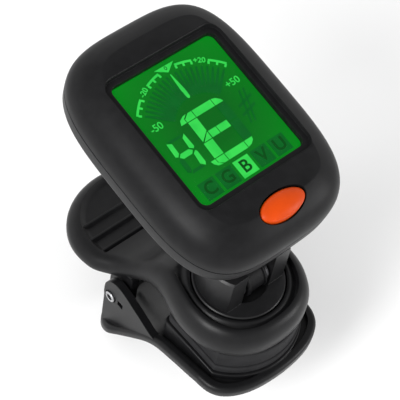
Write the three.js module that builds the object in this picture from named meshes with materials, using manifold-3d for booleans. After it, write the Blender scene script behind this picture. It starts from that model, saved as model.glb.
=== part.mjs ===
// A clip-on tuner for stringed instruments: a spring clamp whose upper jaw carries a swivel disc,
// a tilting neck and a display head with a coin cell inside.
//
// Frame, in millimetres: the origin is where the swivel axis meets the gripping face of the upper rubber
// pad. +Z runs up the swivel axis, +Y towards the finger levers, and +X to the right along the hinge pin.
import * as THREE from "three";
import { mergeVertices } from "three/addons/utils/BufferGeometryUtils.js";
import Module from "manifold-3d";

const wasm = await Module();
wasm.setup();

// ---------------------------------------------------------------- driving dimensions
const GAP = 0.3; // running gap between neighbouring pieces
const ROUND = 32; // sides of a large round face
const SMALL_ROUND = 16; // sides of a small one
const DEG = Math.PI / 180;

// Jaws
const RING_RADIUS = 15.4; // the upper jaw's round front end
const RING_TOP = 12.6; // its crest above the gripping face
const LEVER_CENTRE = 31.8; // centre of the round thumb lever behind the ring
const LEVER_HALF_WIDTH = 17.6;
const LEVER_END = 48.2;
const WAIST = { halfWidth: 12.9, y: 13.6 };
const LEVER_SLOPE = 9 * DEG; // the thumb lever falls to the rear
const THUMB = { radius: 14.4, wall: 1.9, depth: 1.1, front: 27.6, ribs: [28.7, 32.8, 37], ribDrop: 0.15 };
const SKIRT = { front: 6.8, rear: 4.0, from: 10, to: 30 }; // height of the upper jaw's side wall
const JAW_WALL = 1.7;
const JAW_FILLET = { inward: 3.0, share: 0.72 }; // the upper jaw's rolled edge, as a share of its wall
const RING_PLATE = { low: 7.2, high: 9.0 }; // the plate that carries the swivel disc
const LOWER_HALF_WIDTH = 16.4;
const LOWER_FRONT = -18;
const TAB = { centre: 19.6, halfWidth: 17.9, end: 30.2 }; // the round finger tab, seen from above
const RIM_HEIGHT = 2.8;
const RIM_FILLET = { inward: 1.0, share: 0.36 };
const PAD = { frontRadius: 15.6, halfWidth: 12.6, rear: 6.6, corner: 1.5, thickness: 5.2 };
const PAD_SEAT = -2.7; // where the lower pad sits in the lower jaw
const PAD_PLUG_RADIUS = 12.4; // the upper pad's boss inside the ring

// Hinge
const PIN = { y: 21.8, z: -9.9, radius: 1.45, bore: 0.85, halfLength: 16.7 };
const EAR = { inner: 14.3, outer: 16.2 };
const LUG = { inner: 11.6, outer: 13.6, radius: 3.6 };
const SPRING = { coil: 3.1, wire: 0.6, turns: 5, halfWidth: 3.6 };

// Swivel
const DISC_TOP = 12.3;
const DISC_RADIUS = 10.35;
const DISC_THICKNESS = 3;
const BOSS_RADIUS = 3;
const CHEEK = { inner: 3.9, radius: 9.7, front: -5.3, rear: 6.4, height: 11.2 };
const RECESS = { radius: 6.5, depth: 1.5 };

// Tilt joint
const TILT = { y: -1.5, z: DISC_TOP + 3.3 };
const BARREL = { radius: 4.2, halfWidth: 2.7, bore: 1.5 };
const TILT_SCREW_RADIUS = 1.2;

// Display head, in its own frame: x to the right, y up the display, z out of the display.
const HEAD_TILT = 9.6 * DEG; // how far the head's display leans from the jaws' plane at rest
const SCREEN = { width: 26.9, height: 30.8, radius: 1.6 };
const SCREEN_LEDGE = { width: 1.2, radius: 2.4, level: 0 }; // the sunken frame round the display
const HEAD = { halfWidth: 21.2, halfHeight: 28.6, centre: -0.8, power: 3.65 };
const CREST = 1.2; // highest line of the bezel above the display
const SPLIT = -8; // parting plane between bezel and rear cover
const BACK = -14;
const HEAD_WALL = 1.8;
const BARREL_IN_HEAD = { y: -24.8, z: -31.6 };
const BUTTON = { y: -23.4, width: 11.2, height: 5.4, top: 2.0 };
const CELL = { y: 6.5, radius: 10, low: -11.1, high: -7.9 };
const DOOR = { halfWidth: 10.4, tongue: 0.7, bottom: -7.6 };
const SCREW_AT = { x: 14.6, top: 19.5, bottom: -22 };
const BOARD = { low: -6.9, high: -5.9 };

// The display's centre follows from the tilt axis, which the neck's barrel shares.
const HEAD_ORIGIN = new THREE.Vector3(0, -BARREL_IN_HEAD.y, -BARREL_IN_HEAD.z)
  .applyAxisAngle(new THREE.Vector3(1, 0, 0), HEAD_TILT)
  .add(new THREE.Vector3(0, TILT.y, TILT.z));

// ---------------------------------------------------------------- solids, joins and cuts
function solid(geometry) {
  const bare = geometry.clone();
  bare.deleteAttribute("normal");
  bare.deleteAttribute("uv");
  const merged = mergeVertices(bare, 1e-4);
  return new wasm.Manifold(
    new wasm.Mesh({
      numProp: 3,
      vertProperties: new Float32Array(merged.getAttribute("position").array),
      triVerts: new Uint32Array(merged.index.array),
    }),
  );
}

function geometryOf(made) {
  const mesh = made.getMesh();
  const geometry = new THREE.BufferGeometry();
  geometry.setAttribute("position", new THREE.BufferAttribute(mesh.vertProperties, 3));
  geometry.setIndex(new THREE.BufferAttribute(mesh.triVerts, 1));
  return geometry;
}

function join(...solids) {
  return solids.reduce((a, b) => a.add(b));
}

function cut(base, ...cutters) {
  return cutters.reduce((a, b) => a.subtract(b), base);
}

// ---------------------------------------------------------------- simple shapes
function box(x0, x1, y0, y1, z0, z1) {
  const geometry = new THREE.BoxGeometry(x1 - x0, y1 - y0, z1 - z0);
  geometry.translate((x0 + x1) / 2, (y0 + y1) / 2, (z0 + z1) / 2);
  return solid(geometry);
}

// A cylinder along Z, or a cone where the top radius differs.
function column(radius, z0, z1, x = 0, y = 0, sides = ROUND, topRadius = radius) {
  const geometry = new THREE.CylinderGeometry(topRadius, radius, z1 - z0, sides);
  geometry.rotateX(Math.PI / 2);
  geometry.translate(x, y, (z0 + z1) / 2);
  return solid(geometry);
}

// A cylinder along X.
function bar(radius, x0, x1, y, z, sides = SMALL_ROUND) {
  const geometry = new THREE.CylinderGeometry(radius, radius, x1 - x0, sides);
  geometry.rotateZ(Math.PI / 2);
  geometry.translate((x0 + x1) / 2, y, z);
  return solid(geometry);
}

// A solid of revolution about Z from [radius, z] points that start and end on the axis.
function turned(profile, sides = SMALL_ROUND) {
  const geometry = new THREE.LatheGeometry(
    profile.map(([r, z]) => new THREE.Vector2(r, z)),
    sides,
  );
  geometry.rotateX(Math.PI / 2);
  return solid(geometry);
}

function roundedShape(width, height, radius, x = 0, y = 0) {
  const [a, b] = [width / 2 - radius, height / 2 - radius];
  const shape = new THREE.Shape();
  shape.absarc(x + a, y + b, radius, 0, Math.PI / 2);
  shape.absarc(x - a, y + b, radius, Math.PI / 2, Math.PI);
  shape.absarc(x - a, y - b, radius, Math.PI, 1.5 * Math.PI);
  shape.absarc(x + a, y - b, radius, 1.5 * Math.PI, 2 * Math.PI);
  return shape;
}

function extruded(shape, z0, z1, curveSegments = 5) {
  const geometry = new THREE.ExtrudeGeometry(shape, {
    depth: z1 - z0,
    bevelEnabled: false,
    curveSegments,
  });
  geometry.translate(0, 0, z0);
  return solid(geometry);
}

function plate(width, height, radius, z0, z1, x = 0, y = 0) {
  return extruded(roundedShape(width, height, radius, x, y), z0, z1);
}

// A polygon drawn in the YZ plane and given a thickness along X.
function sidePlate(points, x0, x1) {
  const shape = new THREE.Shape(points.map(([y, z]) => new THREE.Vector2(y, z)));
  const geometry = new THREE.ExtrudeGeometry(shape, { depth: x1 - x0, bevelEnabled: false });
  geometry.rotateY(Math.PI / 2);
  geometry.rotateX(Math.PI / 2);
  geometry.translate(x0, 0, 0);
  return solid(geometry);
}

// ---------------------------------------------------------------- moulded shells
// Height along Y, smooth through the stations [y, z].
function heights(stations) {
  return (y) => {
    if (y <= stations[0][0]) return stations[0][1];
    const last = stations.length - 1;
    if (y >= stations[last][0]) return stations[last][1];
    const i = stations.findIndex(([at]) => at > y) - 1;
    const slope = (k) => {
      const [a, b] = [stations[Math.max(k - 1, 0)], stations[Math.min(k + 1, last)]];
      return (b[1] - a[1]) / (b[0] - a[0]);
    };
    const [[y0, z0], [y1, z1]] = [stations[i], stations[i + 1]];
    const [h, t] = [y1 - y0, (y - y0) / (y1 - y0)];
    return (
      z0 * (2 * t ** 3 - 3 * t ** 2 + 1) +
      slope(i) * h * (t ** 3 - 2 * t ** 2 + t) +
      z1 * (3 * t ** 2 - 2 * t ** 3) +
      slope(i + 1) * h * (t ** 3 - t ** 2)
    );
  };
}

// The right-hand half of a symmetric outline as evenly spaced points, from front tip to rear tip.
function halfOutline(points, steps) {
  const mirrored = points.slice(1, -1).reverse().map(([x, y]) => [-x, y]);
  const all = [...points, ...mirrored].map(([x, y]) => new THREE.Vector3(x, y, 0));
  const curve = new THREE.CatmullRomCurve3(all, true, "centripetal");
  const half = curve.getSpacedPoints(2 * steps).slice(0, steps + 1);
  half[0].x = 0;
  half[steps].x = 0;
  return half;
}

// The half outline moved inwards by a distance.
function inset(half, distance) {
  const last = half.length - 1;
  return half.map((p, i) => {
    const before = i > 0 ? half[i - 1] : new THREE.Vector3(-half[1].x, half[1].y, 0);
    const after = i < last ? half[i + 1] : new THREE.Vector3(-half[last - 1].x, half[last - 1].y, 0);
    const along = after.clone().sub(before).normalize();
    const moved = new THREE.Vector3(p.x - along.y * distance, p.y + along.x * distance, 0);
    if (i === 0 || i === last) moved.x = 0;
    return moved;
  });
}

// A full loop at the heights given by level(y): the half outline and its mirror image.
function ring(half, level) {
  const right = half.map((p) => new THREE.Vector3(p.x, p.y, level(p.y)));
  const left = right.slice(1, -1).reverse().map((p) => new THREE.Vector3(-p.x, p.y, p.z));
  return [...right, ...left];
}

// A closed solid through rings listed from bottom to top, capped with strips that run across it.
function stacked(rings) {
  const count = rings[0].length;
  const half = count / 2;
  const positions = rings.flat().flatMap((p) => [p.x, p.y, p.z]);
  const faces = [];
  for (let level = 0; level + 1 < rings.length; level++) {
    for (let i = 0; i < count; i++) {
      const next = (i + 1) % count;
      const [a, b] = [level * count + i, level * count + next];
      faces.push(a, b, b + count, a, b + count, a + count);
    }
  }
  const cap = (level, up) => {
    const at = (i) => level * count + ((i + count) % count);
    for (let i = 0; i < half; i++) {
      const corners = [at(i), at(i + 1), at(-i - 1), at(-i)];
      const strips = [
        [corners[0], corners[1], corners[2]],
        [corners[0], corners[2], corners[3]],
      ].filter(([a, b, c]) => a !== b && b !== c && a !== c);
      strips.forEach(([a, b, c]) => faces.push(...(up ? [a, b, c] : [a, c, b])));
    }
  };
  cap(0, false);
  cap(rings.length - 1, true);
  const geometry = new THREE.BufferGeometry();
  geometry.setAttribute("position", new THREE.BufferAttribute(new Float32Array(positions), 3));
  geometry.setIndex(faces);
  return solid(geometry);
}

// A moulding with a plain wall from bottom(y) up and an edge rounded over at top(y).
function moulding(half, bottom, top, fillet, steps = 4) {
  const rings = [ring(half, bottom)];
  for (let i = 0; i <= steps; i++) {
    const angle = (i / steps) * (Math.PI / 2);
    const inward = fillet.inward * (1 - Math.cos(angle));
    const drop = fillet.share * (1 - Math.sin(angle));
    rings.push(ring(inset(half, inward), (y) => THREE.MathUtils.lerp(top(y), bottom(y), drop)));
  }
  return stacked(rings);
}

// A straight-sided solid between two levels, for hollows.
function hollow(half, bottom, top) {
  return stacked([ring(half, bottom), ring(half, top)]);
}

// ---------------------------------------------------------------- jaws
const crest = heights([
  [4, RING_TOP],
  [10, 11.7],
  [13.5, 9.8],
  [16, 7.6],
  [18.7, 4.6],
  [22, 1.7],
  [26, -0.4],
  [30, -1.6],
  [LEVER_END, -1.6 - (LEVER_END - 30) * Math.tan(LEVER_SLOPE)],
]);

function skirtBottom(y) {
  const share = THREE.MathUtils.clamp((y - SKIRT.from) / (SKIRT.to - SKIRT.from), 0, 1);
  return crest(y) - THREE.MathUtils.lerp(SKIRT.front, SKIRT.rear, share);
}

function upperOutline() {
  // the ring is a little squarer than a circle at its front corners
  const onRing = (degrees) => {
    const radius = RING_RADIUS * (1 + 0.05 * Math.sin(2 * degrees * DEG) ** 2);
    return [radius * Math.cos(degrees * DEG), radius * Math.sin(degrees * DEG)];
  };
  const onLever = (degrees) => [
    LEVER_HALF_WIDTH * Math.cos(degrees * DEG),
    LEVER_CENTRE + (LEVER_END - LEVER_CENTRE) * Math.sin(degrees * DEG),
  ];
  const points = [
    ...[-90, -67, -45, -22, 0].map(onRing),
    [WAIST.halfWidth + 1.8, 5],
    [WAIST.halfWidth + 0.6, 9.5],
    [WAIST.halfWidth, WAIST.y],
    [WAIST.halfWidth + 0.3, 18.5],
    [WAIST.halfWidth + 1.9, 23.2],
    ...[-10, 15, 40, 65, 90].map(onLever),
  ];
  return halfOutline(points, 30);
}

function upperJaw() {
  const outline = upperOutline();
  const body = moulding(outline, skirtBottom, crest, JAW_FILLET);
  const inside = hollow(
    inset(outline, JAW_WALL),
    () => -30,
    (y) => Math.min(crest(y) - 1.9, RING_PLATE.low),
  );
  const seat = column(DISC_RADIUS + GAP, RING_PLATE.high, RING_TOP + 2);
  const dish = turned(
    [
      [0, DISC_TOP],
      [11.1, DISC_TOP],
      [12.1, DISC_TOP - 0.7],
      [12.8, DISC_TOP - 0.95],
      [13.4, DISC_TOP - 0.8],
      [14.4, DISC_TOP],
      [14.8, RING_TOP + 1],
      [0, RING_TOP + 1],
    ],
    ROUND,
  );
  const shell = cut(body, inside, seat, dish, column(BOSS_RADIUS + GAP, RING_PLATE.low - 1, RING_PLATE.high + 1));
  return cut(join(shell, ...hingeLugs()), thumbRecess(), ...pinHoles(LUG));
}

// Two lugs under the lever that the hinge pin runs through.
function hingeLugs() {
  return [-1, 1].map((side) => {
    const [x0, x1] = side > 0 ? [LUG.inner, LUG.outer] : [-LUG.outer, -LUG.inner];
    const web = box(x0, x1, PIN.y - LUG.radius, PIN.y + LUG.radius, PIN.z, crest(PIN.y + LUG.radius) - 1);
    return join(web, bar(LUG.radius, x0, x1, PIN.y, PIN.z, SMALL_ROUND));
  });
}

function pinHoles(part) {
  const reach = [part.inner - 1, part.outer + 1];
  return [-1, 1].map((side) => {
    const [x0, x1] = side > 0 ? reach : [-reach[1], -reach[0]];
    return bar(PIN.radius + GAP, x0, x1, PIN.y, PIN.z);
  });
}

// The D-shaped recess under the thumb: a sloping wall all round and three ribs left across its floor.
function thumbRecess() {
  const { radius, wall, depth, front } = THUMB;
  const bowl = turned(
    [
      [0, -depth],
      [radius - wall, -depth],
      [radius, 0.2],
      [radius, 4],
      [0, 4],
    ],
    ROUND,
  );
  const recess = cut(bowl, box(-20, 20, -20, front - LEVER_CENTRE, -5, 5));
  const ribs = THUMB.ribs.map((y) => {
    const middle = y - LEVER_CENTRE;
    return sidePlate(
      [
        [middle - 0.6, -depth - 0.2],
        [middle + 0.5, -depth - 0.2],
        [middle + 0.5, -THUMB.ribDrop],
        [middle, -THUMB.ribDrop],
      ],
      -20,
      20,
    );
  });
  const slope = new THREE.Matrix4().makeRotationX(-LEVER_SLOPE);
  slope.setPosition(0, LEVER_CENTRE, crest(LEVER_CENTRE));
  return cut(recess, ...ribs).transform(slope.elements);
}

// A block with the pads' outline: a round front, straight sides and two rear corners.
function padBlock(grown, low, high) {
  const radius = PAD.frontRadius + grown;
  const side = PAD.halfWidth + grown;
  const rear = PAD.rear + grown;
  const across = Math.asin(side / radius);
  const shape = new THREE.Shape();
  shape.absarc(0, 0, radius, -Math.PI / 2 - across, -Math.PI / 2 + across);
  shape.absarc(side - PAD.corner, rear - PAD.corner, PAD.corner, 0, Math.PI / 2);
  shape.absarc(PAD.corner - side, rear - PAD.corner, PAD.corner, Math.PI / 2, Math.PI);
  return extruded(shape, low, high, 12);
}

function upperPad() {
  const block = padBlock(0, 0, PAD.thickness);
  const plug = column(PAD_PLUG_RADIUS, PAD.thickness - 0.1, RING_PLATE.low - GAP);
  const trimmed = cut(plug, box(-14, 14, PAD.rear, 20, 0, 10));
  return cut(join(block, trimmed), column(5.8, 3.6, RING_PLATE.low));
}

function lowerPad() {
  return padBlock(0.3, PAD_SEAT + GAP, -GAP);
}

const lowerBottom = heights([
  [-8, -6.1],
  [-3, -7.4],
  [2, -8.8],
  [5.4, -10],
  [8.6, -12.1],
  [12.9, -16.3],
  [17, -20.4],
  [21, -23.7],
  [25, -26.4],
  [TAB.end, -29.2],
]);

function lowerOutline() {
  const onTab = (degrees) => [
    TAB.halfWidth * Math.cos(degrees * DEG),
    TAB.centre + (TAB.end - TAB.centre) * Math.sin(degrees * DEG),
  ];
  const points = [
    [0, LOWER_FRONT],
    [5, LOWER_FRONT + 0.3],
    [9, LOWER_FRONT + 1.1],
    [12.4, LOWER_FRONT + 2.6],
    [14.6, LOWER_FRONT + 4.4],
    [15.8, LOWER_FRONT + 6.5],
    [16.3, LOWER_FRONT + 9],
    [LOWER_HALF_WIDTH, 0],
    [LOWER_HALF_WIDTH, 7],
    [LOWER_HALF_WIDTH + 0.3, 12],
    ...[-16, 4, 24, 45, 68, 90].map(onTab),
  ];
  return halfOutline(points, 28);
}

function lowerJaw() {
  const outline = lowerOutline();
  const rim = (y) => lowerBottom(y) + RIM_HEIGHT;
  const floor = (y) => lowerBottom(y) + 1.6;
  const tray = cut(
    moulding(outline, lowerBottom, rim, RIM_FILLET, 3),
    hollow(inset(outline, 2.0), floor, () => 20),
  );
  const pedestal = padBlock(0.8, -9.5, PAD_SEAT);
  const under = hollow(outline, () => -40, lowerBottom);
  const ears = [-1, 1].map((side) => {
    const [x0, x1] = side > 0 ? [EAR.inner, EAR.outer] : [-EAR.outer, -EAR.inner];
    return sidePlate(
      [
        [24.1, lowerBottom(24.1) + 0.6],
        [24.3, -9.9],
        [23.9, -6.4],
        [22.5, -4.4],
        [20.2, -3.4],
        [17.6, -3.8],
        [12.4, -6.0],
        [8.2, -8.0],
        [4.6, lowerBottom(4.6) + 1.2],
        [8.6, lowerBottom(8.6) + 0.6],
        [12.9, lowerBottom(12.9) + 0.6],
        [18, lowerBottom(18) + 0.6],
      ],
      x0,
      x1,
    );
  });
  const slots = [-1, 1].map((side) => {
    const x = side * (EAR.inner + EAR.outer) / 2;
    return box(x - 2, x + 2, PIN.y - 4.2, PIN.y - 2.4, PIN.z - 0.4, PIN.z + 1.3);
  });
  return cut(join(tray, cut(pedestal, under), ...ears), ...pinHoles(EAR), ...slots);
}

// A rolled steel pin, open along one side.
function hingePin() {
  const gap = 18 * DEG;
  const shape = new THREE.Shape();
  shape.absarc(0, 0, PIN.radius, gap, 2 * Math.PI - gap);
  shape.absarc(0, 0, PIN.bore, 2 * Math.PI - gap, gap, true);
  const geometry = new THREE.ExtrudeGeometry(shape, {
    depth: 2 * PIN.halfLength,
    bevelEnabled: false,
    curveSegments: 8,
  });
  geometry.translate(0, 0, -PIN.halfLength);
  geometry.rotateY(Math.PI / 2);
  geometry.translate(0, PIN.y, PIN.z);
  return solid(geometry);
}

class SpringCurve extends THREE.Curve {
  constructor(points) {
    super();
    this.path = new THREE.CatmullRomCurve3(points, false, "centripetal");
  }

  getPoint(t, target = new THREE.Vector3()) {
    return this.path.getPoint(t, target);
  }
}

// The coil runs round the pin; one leg presses under the thumb lever and the other on the finger tab.
function torsionSpring() {
  const perTurn = 10;
  const startAngle = -50 * DEG;
  const endAngle = 20 * DEG;
  const sweep = 2 * Math.PI * SPRING.turns + (endAngle - startAngle);
  const count = Math.round((perTurn * sweep) / (2 * Math.PI));
  const onCoil = (share) => {
    const angle = startAngle - share * sweep + 2 * (endAngle - startAngle) * share;
    return new THREE.Vector3(
      THREE.MathUtils.lerp(-SPRING.halfWidth, SPRING.halfWidth, share),
      PIN.y + SPRING.coil * Math.cos(angle),
      PIN.z + SPRING.coil * Math.sin(angle),
    );
  };
  const coil = Array.from({ length: count + 1 }, (_, i) => onCoil(i / count));
  const lowerLeg = [
    new THREE.Vector3(-SPRING.halfWidth, 26.2, -24.4),
    new THREE.Vector3(-SPRING.halfWidth, 25.6, -20),
    new THREE.Vector3(-SPRING.halfWidth, 25, -15.6),
  ];
  const upperLeg = [
    new THREE.Vector3(SPRING.halfWidth, 25.4, -6.6),
    new THREE.Vector3(SPRING.halfWidth, 30, -5.3),
    new THREE.Vector3(SPRING.halfWidth, 38, -6.4),
  ];
  const section = new THREE.Shape();
  section.absarc(0, 0, SPRING.wire, 0, 2 * Math.PI);
  const geometry = new THREE.ExtrudeGeometry(section, {
    steps: count + 16,
    curveSegments: 4,
    bevelEnabled: false,
    extrudePath: new SpringCurve([...lowerLeg, ...coil, ...upperLeg]),
  });
  return solid(geometry);
}

// ---------------------------------------------------------------- swivel and tilt
function swivelDisc() {
  const low = DISC_TOP - DISC_THICKNESS;
  const disc = column(DISC_RADIUS, low, DISC_TOP, 0, 0, 48);
  const boss = column(BOSS_RADIUS, RING_PLATE.low - GAP, low + 0.2, 0, 0, SMALL_ROUND);
  const yoke = cut(
    column(CHEEK.radius, DISC_TOP - 0.2, DISC_TOP + CHEEK.height, 0, 0, ROUND),
    box(-CHEEK.inner, CHEEK.inner, -20, 20, 0, 40),
    box(-20, 20, -20, CHEEK.front, 0, 40),
    box(-20, 20, CHEEK.rear, 20, 0, 40),
  );
  const recess = column(RECESS.radius, DISC_TOP - RECESS.depth, DISC_TOP + 1, 0, 0, ROUND);
  const slot = box(-CHEEK.inner, CHEEK.inner, -20, 20, DISC_TOP - RECESS.depth, DISC_TOP + 1);
  const screwHole = column(1.15, 5, DISC_TOP - RECESS.depth - 0.6, 0, 0, SMALL_ROUND);
  const crossHole = bar(TILT_SCREW_RADIUS + GAP, -CHEEK.inner - 2.6, 12, TILT.y, TILT.z);
  const headSeat = bar(2.7, CHEEK.inner + 3, 12, TILT.y, TILT.z);
  const nutSeat = bar(3.0, -CHEEK.inner - 2.3, 0, TILT.y, TILT.z, 6);
  const notch = slot.intersect(recess);
  const body = join(disc, boss, yoke);
  return cut(body, notch, recess.subtract(yoke), screwHole, crossHole, headSeat, nutSeat);
}

function swivelScrew() {
  return turned([
    [0, 3.9],
    [2.2, 3.9],
    [2.2, 5.1],
    [0.85, 5.1],
    [0.85, 9.8],
    [0, 9.8],
  ]);
}

// A flat ring about Z.
function flatRing(inner, outer, z0, z1) {
  return cut(column(outer, z0, z1, 0, 0, 28), column(inner, z0 - 1, z1 + 1, 0, 0, SMALL_ROUND));
}

// A flat ring about X on the tilt axis.
function tiltRing(inner, outer, x0, x1) {
  return cut(bar(outer, x0, x1, TILT.y, TILT.z, 28), bar(inner, x0 - 1, x1 + 1, TILT.y, TILT.z));
}

function tiltScrew() {
  const head = bar(2.3, CHEEK.inner + 3.3, CHEEK.inner + 4.7, TILT.y, TILT.z);
  const drive = box(CHEEK.inner + 4.1, 20, TILT.y - 0.3, TILT.y + 0.3, TILT.z - 3, TILT.z + 3);
  const shank = bar(TILT_SCREW_RADIUS, -CHEEK.inner - 2.2, CHEEK.inner + 3.4, TILT.y, TILT.z);
  return cut(join(head, shank), drive);
}

function tiltNut() {
  const outside = bar(2.6, -CHEEK.inner - 2, -CHEEK.inner - 0.4, TILT.y, TILT.z, 6);
  return cut(outside, bar(TILT_SCREW_RADIUS + GAP, -12, 0, TILT.y, TILT.z));
}

// The neck's foot screws to the rear cover and its barrel turns between the cheeks.
function neck() {
  const { y, z } = BARREL_IN_HEAD;
  const foot = plate(15, 16.5, 3, BACK - GAP - 2.4, BACK - GAP, 0, -18.4);
  const arm = sidePlate(
    [
      [y - 0.6, z + 2],
      [y + 3.6, z + 1],
      [y + 4.6, z + 9],
      [y + 10.5, BACK - GAP - 2.2],
      [y - 0.6, BACK - GAP - 2.2],
    ],
    -BARREL.halfWidth,
    BARREL.halfWidth,
  );
  const barrel = bar(BARREL.radius, -BARREL.halfWidth, BARREL.halfWidth, y, z, 28);
  const bore = bar(BARREL.bore, -10, 10, y, z);
  const holes = [-1, 1].map((side) => column(1.2, BACK - 2.2, BACK + 2, side * 5.5, -21.5, 12));
  return cut(join(foot, arm, barrel), bore, ...holes);
}

// ---------------------------------------------------------------- display head
function headOutline() {
  const steps = 26;
  const half = [];
  for (let i = 0; i <= steps; i++) {
    const angle = -Math.PI / 2 + (Math.PI * i) / steps;
    const [c, s] = [Math.cos(angle), Math.sin(angle)];
    half.push(
      new THREE.Vector3(
        HEAD.halfWidth * Math.abs(c) ** (2 / HEAD.power),
        HEAD.centre + HEAD.halfHeight * Math.sign(s) * Math.abs(s) ** (2 / HEAD.power),
        0,
      ),
    );
  }
  half[0].x = 0;
  half[steps].x = 0;
  return half;
}

// Rings of the whole head from [inset, level] pairs.
function headStack(profile) {
  const outline = headOutline();
  return stacked(profile.map(([inward, level]) => ring(inset(outline, inward), () => level)));
}

function frontBezel() {
  const outside = headStack([
    [0, SPLIT + GAP / 2],
    [0.1, -6],
    [0.5, -4.4],
    [1.2, -2.9],
    [2.3, -1.5],
    [3.8, -0.3],
    [5.3, 0.6],
    [6.5, CREST],
  ]);
  const inside = headStack([
    [HEAD_WALL, SPLIT - 1],
    [HEAD_WALL, -6],
    [3.6, -3.4],
    [6.2, -1.4],
  ]);
  const bosses = screwPlaces().map(([x, y]) => column(2.2, SPLIT + GAP / 2, -2.6, x, y, 12));
  const holes = screwPlaces().map(([x, y]) => column(1.2, SPLIT - 1, -3.2, x, y, 10));
  const opening = plate(SCREEN.width, SCREEN.height, SCREEN.radius, -4, 4);
  const buttonHole = ovalColumn(BUTTON.width + 2 * GAP, BUTTON.height + 2 * GAP, -4, 4);
  return cut(join(cut(outside, inside), ...bosses), opening, screenRecess(), buttonHole, ...holes);
}

// The steep-walled recess round the display, which leaves a narrow ledge at its foot.
function screenRecess() {
  const { width, radius, level } = SCREEN_LEDGE;
  return plate(SCREEN.width + 2 * width, SCREEN.height + 2 * width, radius, level, 4);
}

function ovalColumn(width, height, z0, z1) {
  const shape = new THREE.Shape();
  shape.absellipse(0, BUTTON.y, width / 2, height / 2, 0, 2 * Math.PI);
  return extruded(shape, z0, z1, 12);
}

function screwPlaces() {
  const { x, top, bottom } = SCREW_AT;
  return [
    [-x, top],
    [x, top],
    [-x, bottom],
    [x, bottom],
  ];
}

function coverBlank() {
  return headStack([
    [3.2, BACK],
    [1.8, BACK + 0.4],
    [0.7, BACK + 1.4],
    [0.1, BACK + 3],
    [0, SPLIT - GAP / 2],
  ]);
}

// The slot that the battery door slides in, T-shaped in section and open at the head's top edge.
function doorSlot(clearance) {
  const reach = DOOR.halfWidth + clearance;
  const low = DOOR.bottom - clearance;
  const channel = box(-reach, reach, low, 40, BACK - 2, BACK + 1.6 + clearance);
  const wide = reach + DOOR.tongue;
  const tongues = box(-wide, wide, low, 40, BACK + 0.9 - clearance, BACK + 1.6 + clearance);
  return join(channel, tongues);
}

function rearCover() {
  const inside = headStack([
    [HEAD_WALL, BACK + 2.8],
    [HEAD_WALL, SPLIT + 1],
  ]);
  const cellHole = column(CELL.radius + 0.6, BACK - 1, BACK + 4, 0, CELL.y);
  const screws = screwPlaces().flatMap(([x, y]) => [
    column(1.2, BACK - 1, BACK + 8, x, y, 12),
    column(2.2, BACK - 1, BACK + 1.5, x, y, 16),
  ]);
  const neckHoles = [-1, 1].map((side) => column(1.25, BACK - 1, BACK + 4, side * 5.5, -21.5, 12));
  return cut(coverBlank(), inside, doorSlot(GAP), cellHole, ...screws, ...neckHoles);
}

function batteryDoor() {
  return doorSlot(0).intersect(coverBlank());
}

// A plate that fills the display opening, less the glue line round it.
function inOpening(z0, z1) {
  return plate(SCREEN.width - 2 * GAP, SCREEN.height - 2 * GAP, SCREEN.radius - GAP, z0, z1);
}

// Two glass sheets: the upper one fills the opening, and the lower one reaches out to the contact strip.
function lcdGlass() {
  return join(inOpening(-2, -1.1), plate(28.9, 35, 0.6, -3.6, -1.8, 0, -0.9));
}

function circuitBoard() {
  const board = plate(35.6, 49.5, 9, BOARD.low, BOARD.high, 0, -1.25);
  return cut(board, ...screwPlaces().map(([x, y]) => column(2.6, -9, -4, x, y, 16)));
}

function tactSwitch() {
  const body = box(-2.5, 2.5, BUTTON.y - 2.5, BUTTON.y + 2.5, BOARD.high + GAP, -4.2);
  return cut(body, column(1.4, -8, 0, 0, BUTTON.y, 16));
}

// A low dome on an oval stem with a retaining flange inside the bezel.
function powerButton() {
  const dome = new THREE.SphereGeometry(1, 24, 8);
  dome.rotateX(Math.PI / 2);
  dome.scale(BUTTON.width / 2, BUTTON.height / 2, 1.6);
  dome.translate(0, BUTTON.y, BUTTON.top - 1.6);
  const stem = ovalColumn(BUTTON.width, BUTTON.height, -2.5, BUTTON.top - 1.6);
  const flange = ovalColumn(BUTTON.width + 2.2, BUTTON.height - 2.6, -2.9, -2.4);
  return join(solid(dome), stem, flange);
}

function positiveContact() {
  const edge = CELL.y - CELL.radius;
  return join(
    box(-3, 3, edge - 1.1, edge - 0.5, -10.8, BOARD.low - GAP),
    box(-3, 3, edge - 4, edge - 0.5, BOARD.low - GAP - 0.5, BOARD.low - GAP),
  );
}

function headScrew(x, y, z0, headRadius, headHeight, length) {
  const screw = turned(
    [
      [0, z0],
      [headRadius, z0],
      [headRadius, z0 + headHeight],
      [0.85, z0 + headHeight],
      [0.85, z0 + length],
      [0, z0 + length],
    ],
    16,
  );
  const cross = [
    box(-1.1, 1.1, -0.2, 0.2, z0 - 1, z0 + 0.5),
    box(-0.2, 0.2, -1.1, 1.1, z0 - 1, z0 + 0.5),
  ];
  return cut(screw, ...cross).translate([x, y, 0]);
}

// ---------------------------------------------------------------- materials
function plastic(color, roughness = 0.55) {
  return new THREE.MeshStandardMaterial({ color, roughness, metalness: 0 });
}

function metal(color, roughness = 0.3) {
  return new THREE.MeshStandardMaterial({ color, roughness, metalness: 1 });
}

const charcoal = plastic(0x2b2c2e, 0.5);
const rubber = plastic(0x4a4b4c, 0.85);
const steel = metal(0xc9cacb);
const springSteel = metal(0x5a5b5e, 0.4);
const orange = plastic(0xe8560f, 0.4);
const glassGreen = plastic(0x0f7a22, 0.2);
const clear = new THREE.MeshStandardMaterial({
  color: 0xffffff,
  roughness: 0.05,
  transparent: true,
  opacity: 0.35,
});
const boardGreen = plastic(0x14522c, 0.6);
const blackChip = plastic(0x111111, 0.5);
const brass = metal(0xc8a050, 0.35);
const white = plastic(0xe8e8e4, 0.4);

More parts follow.
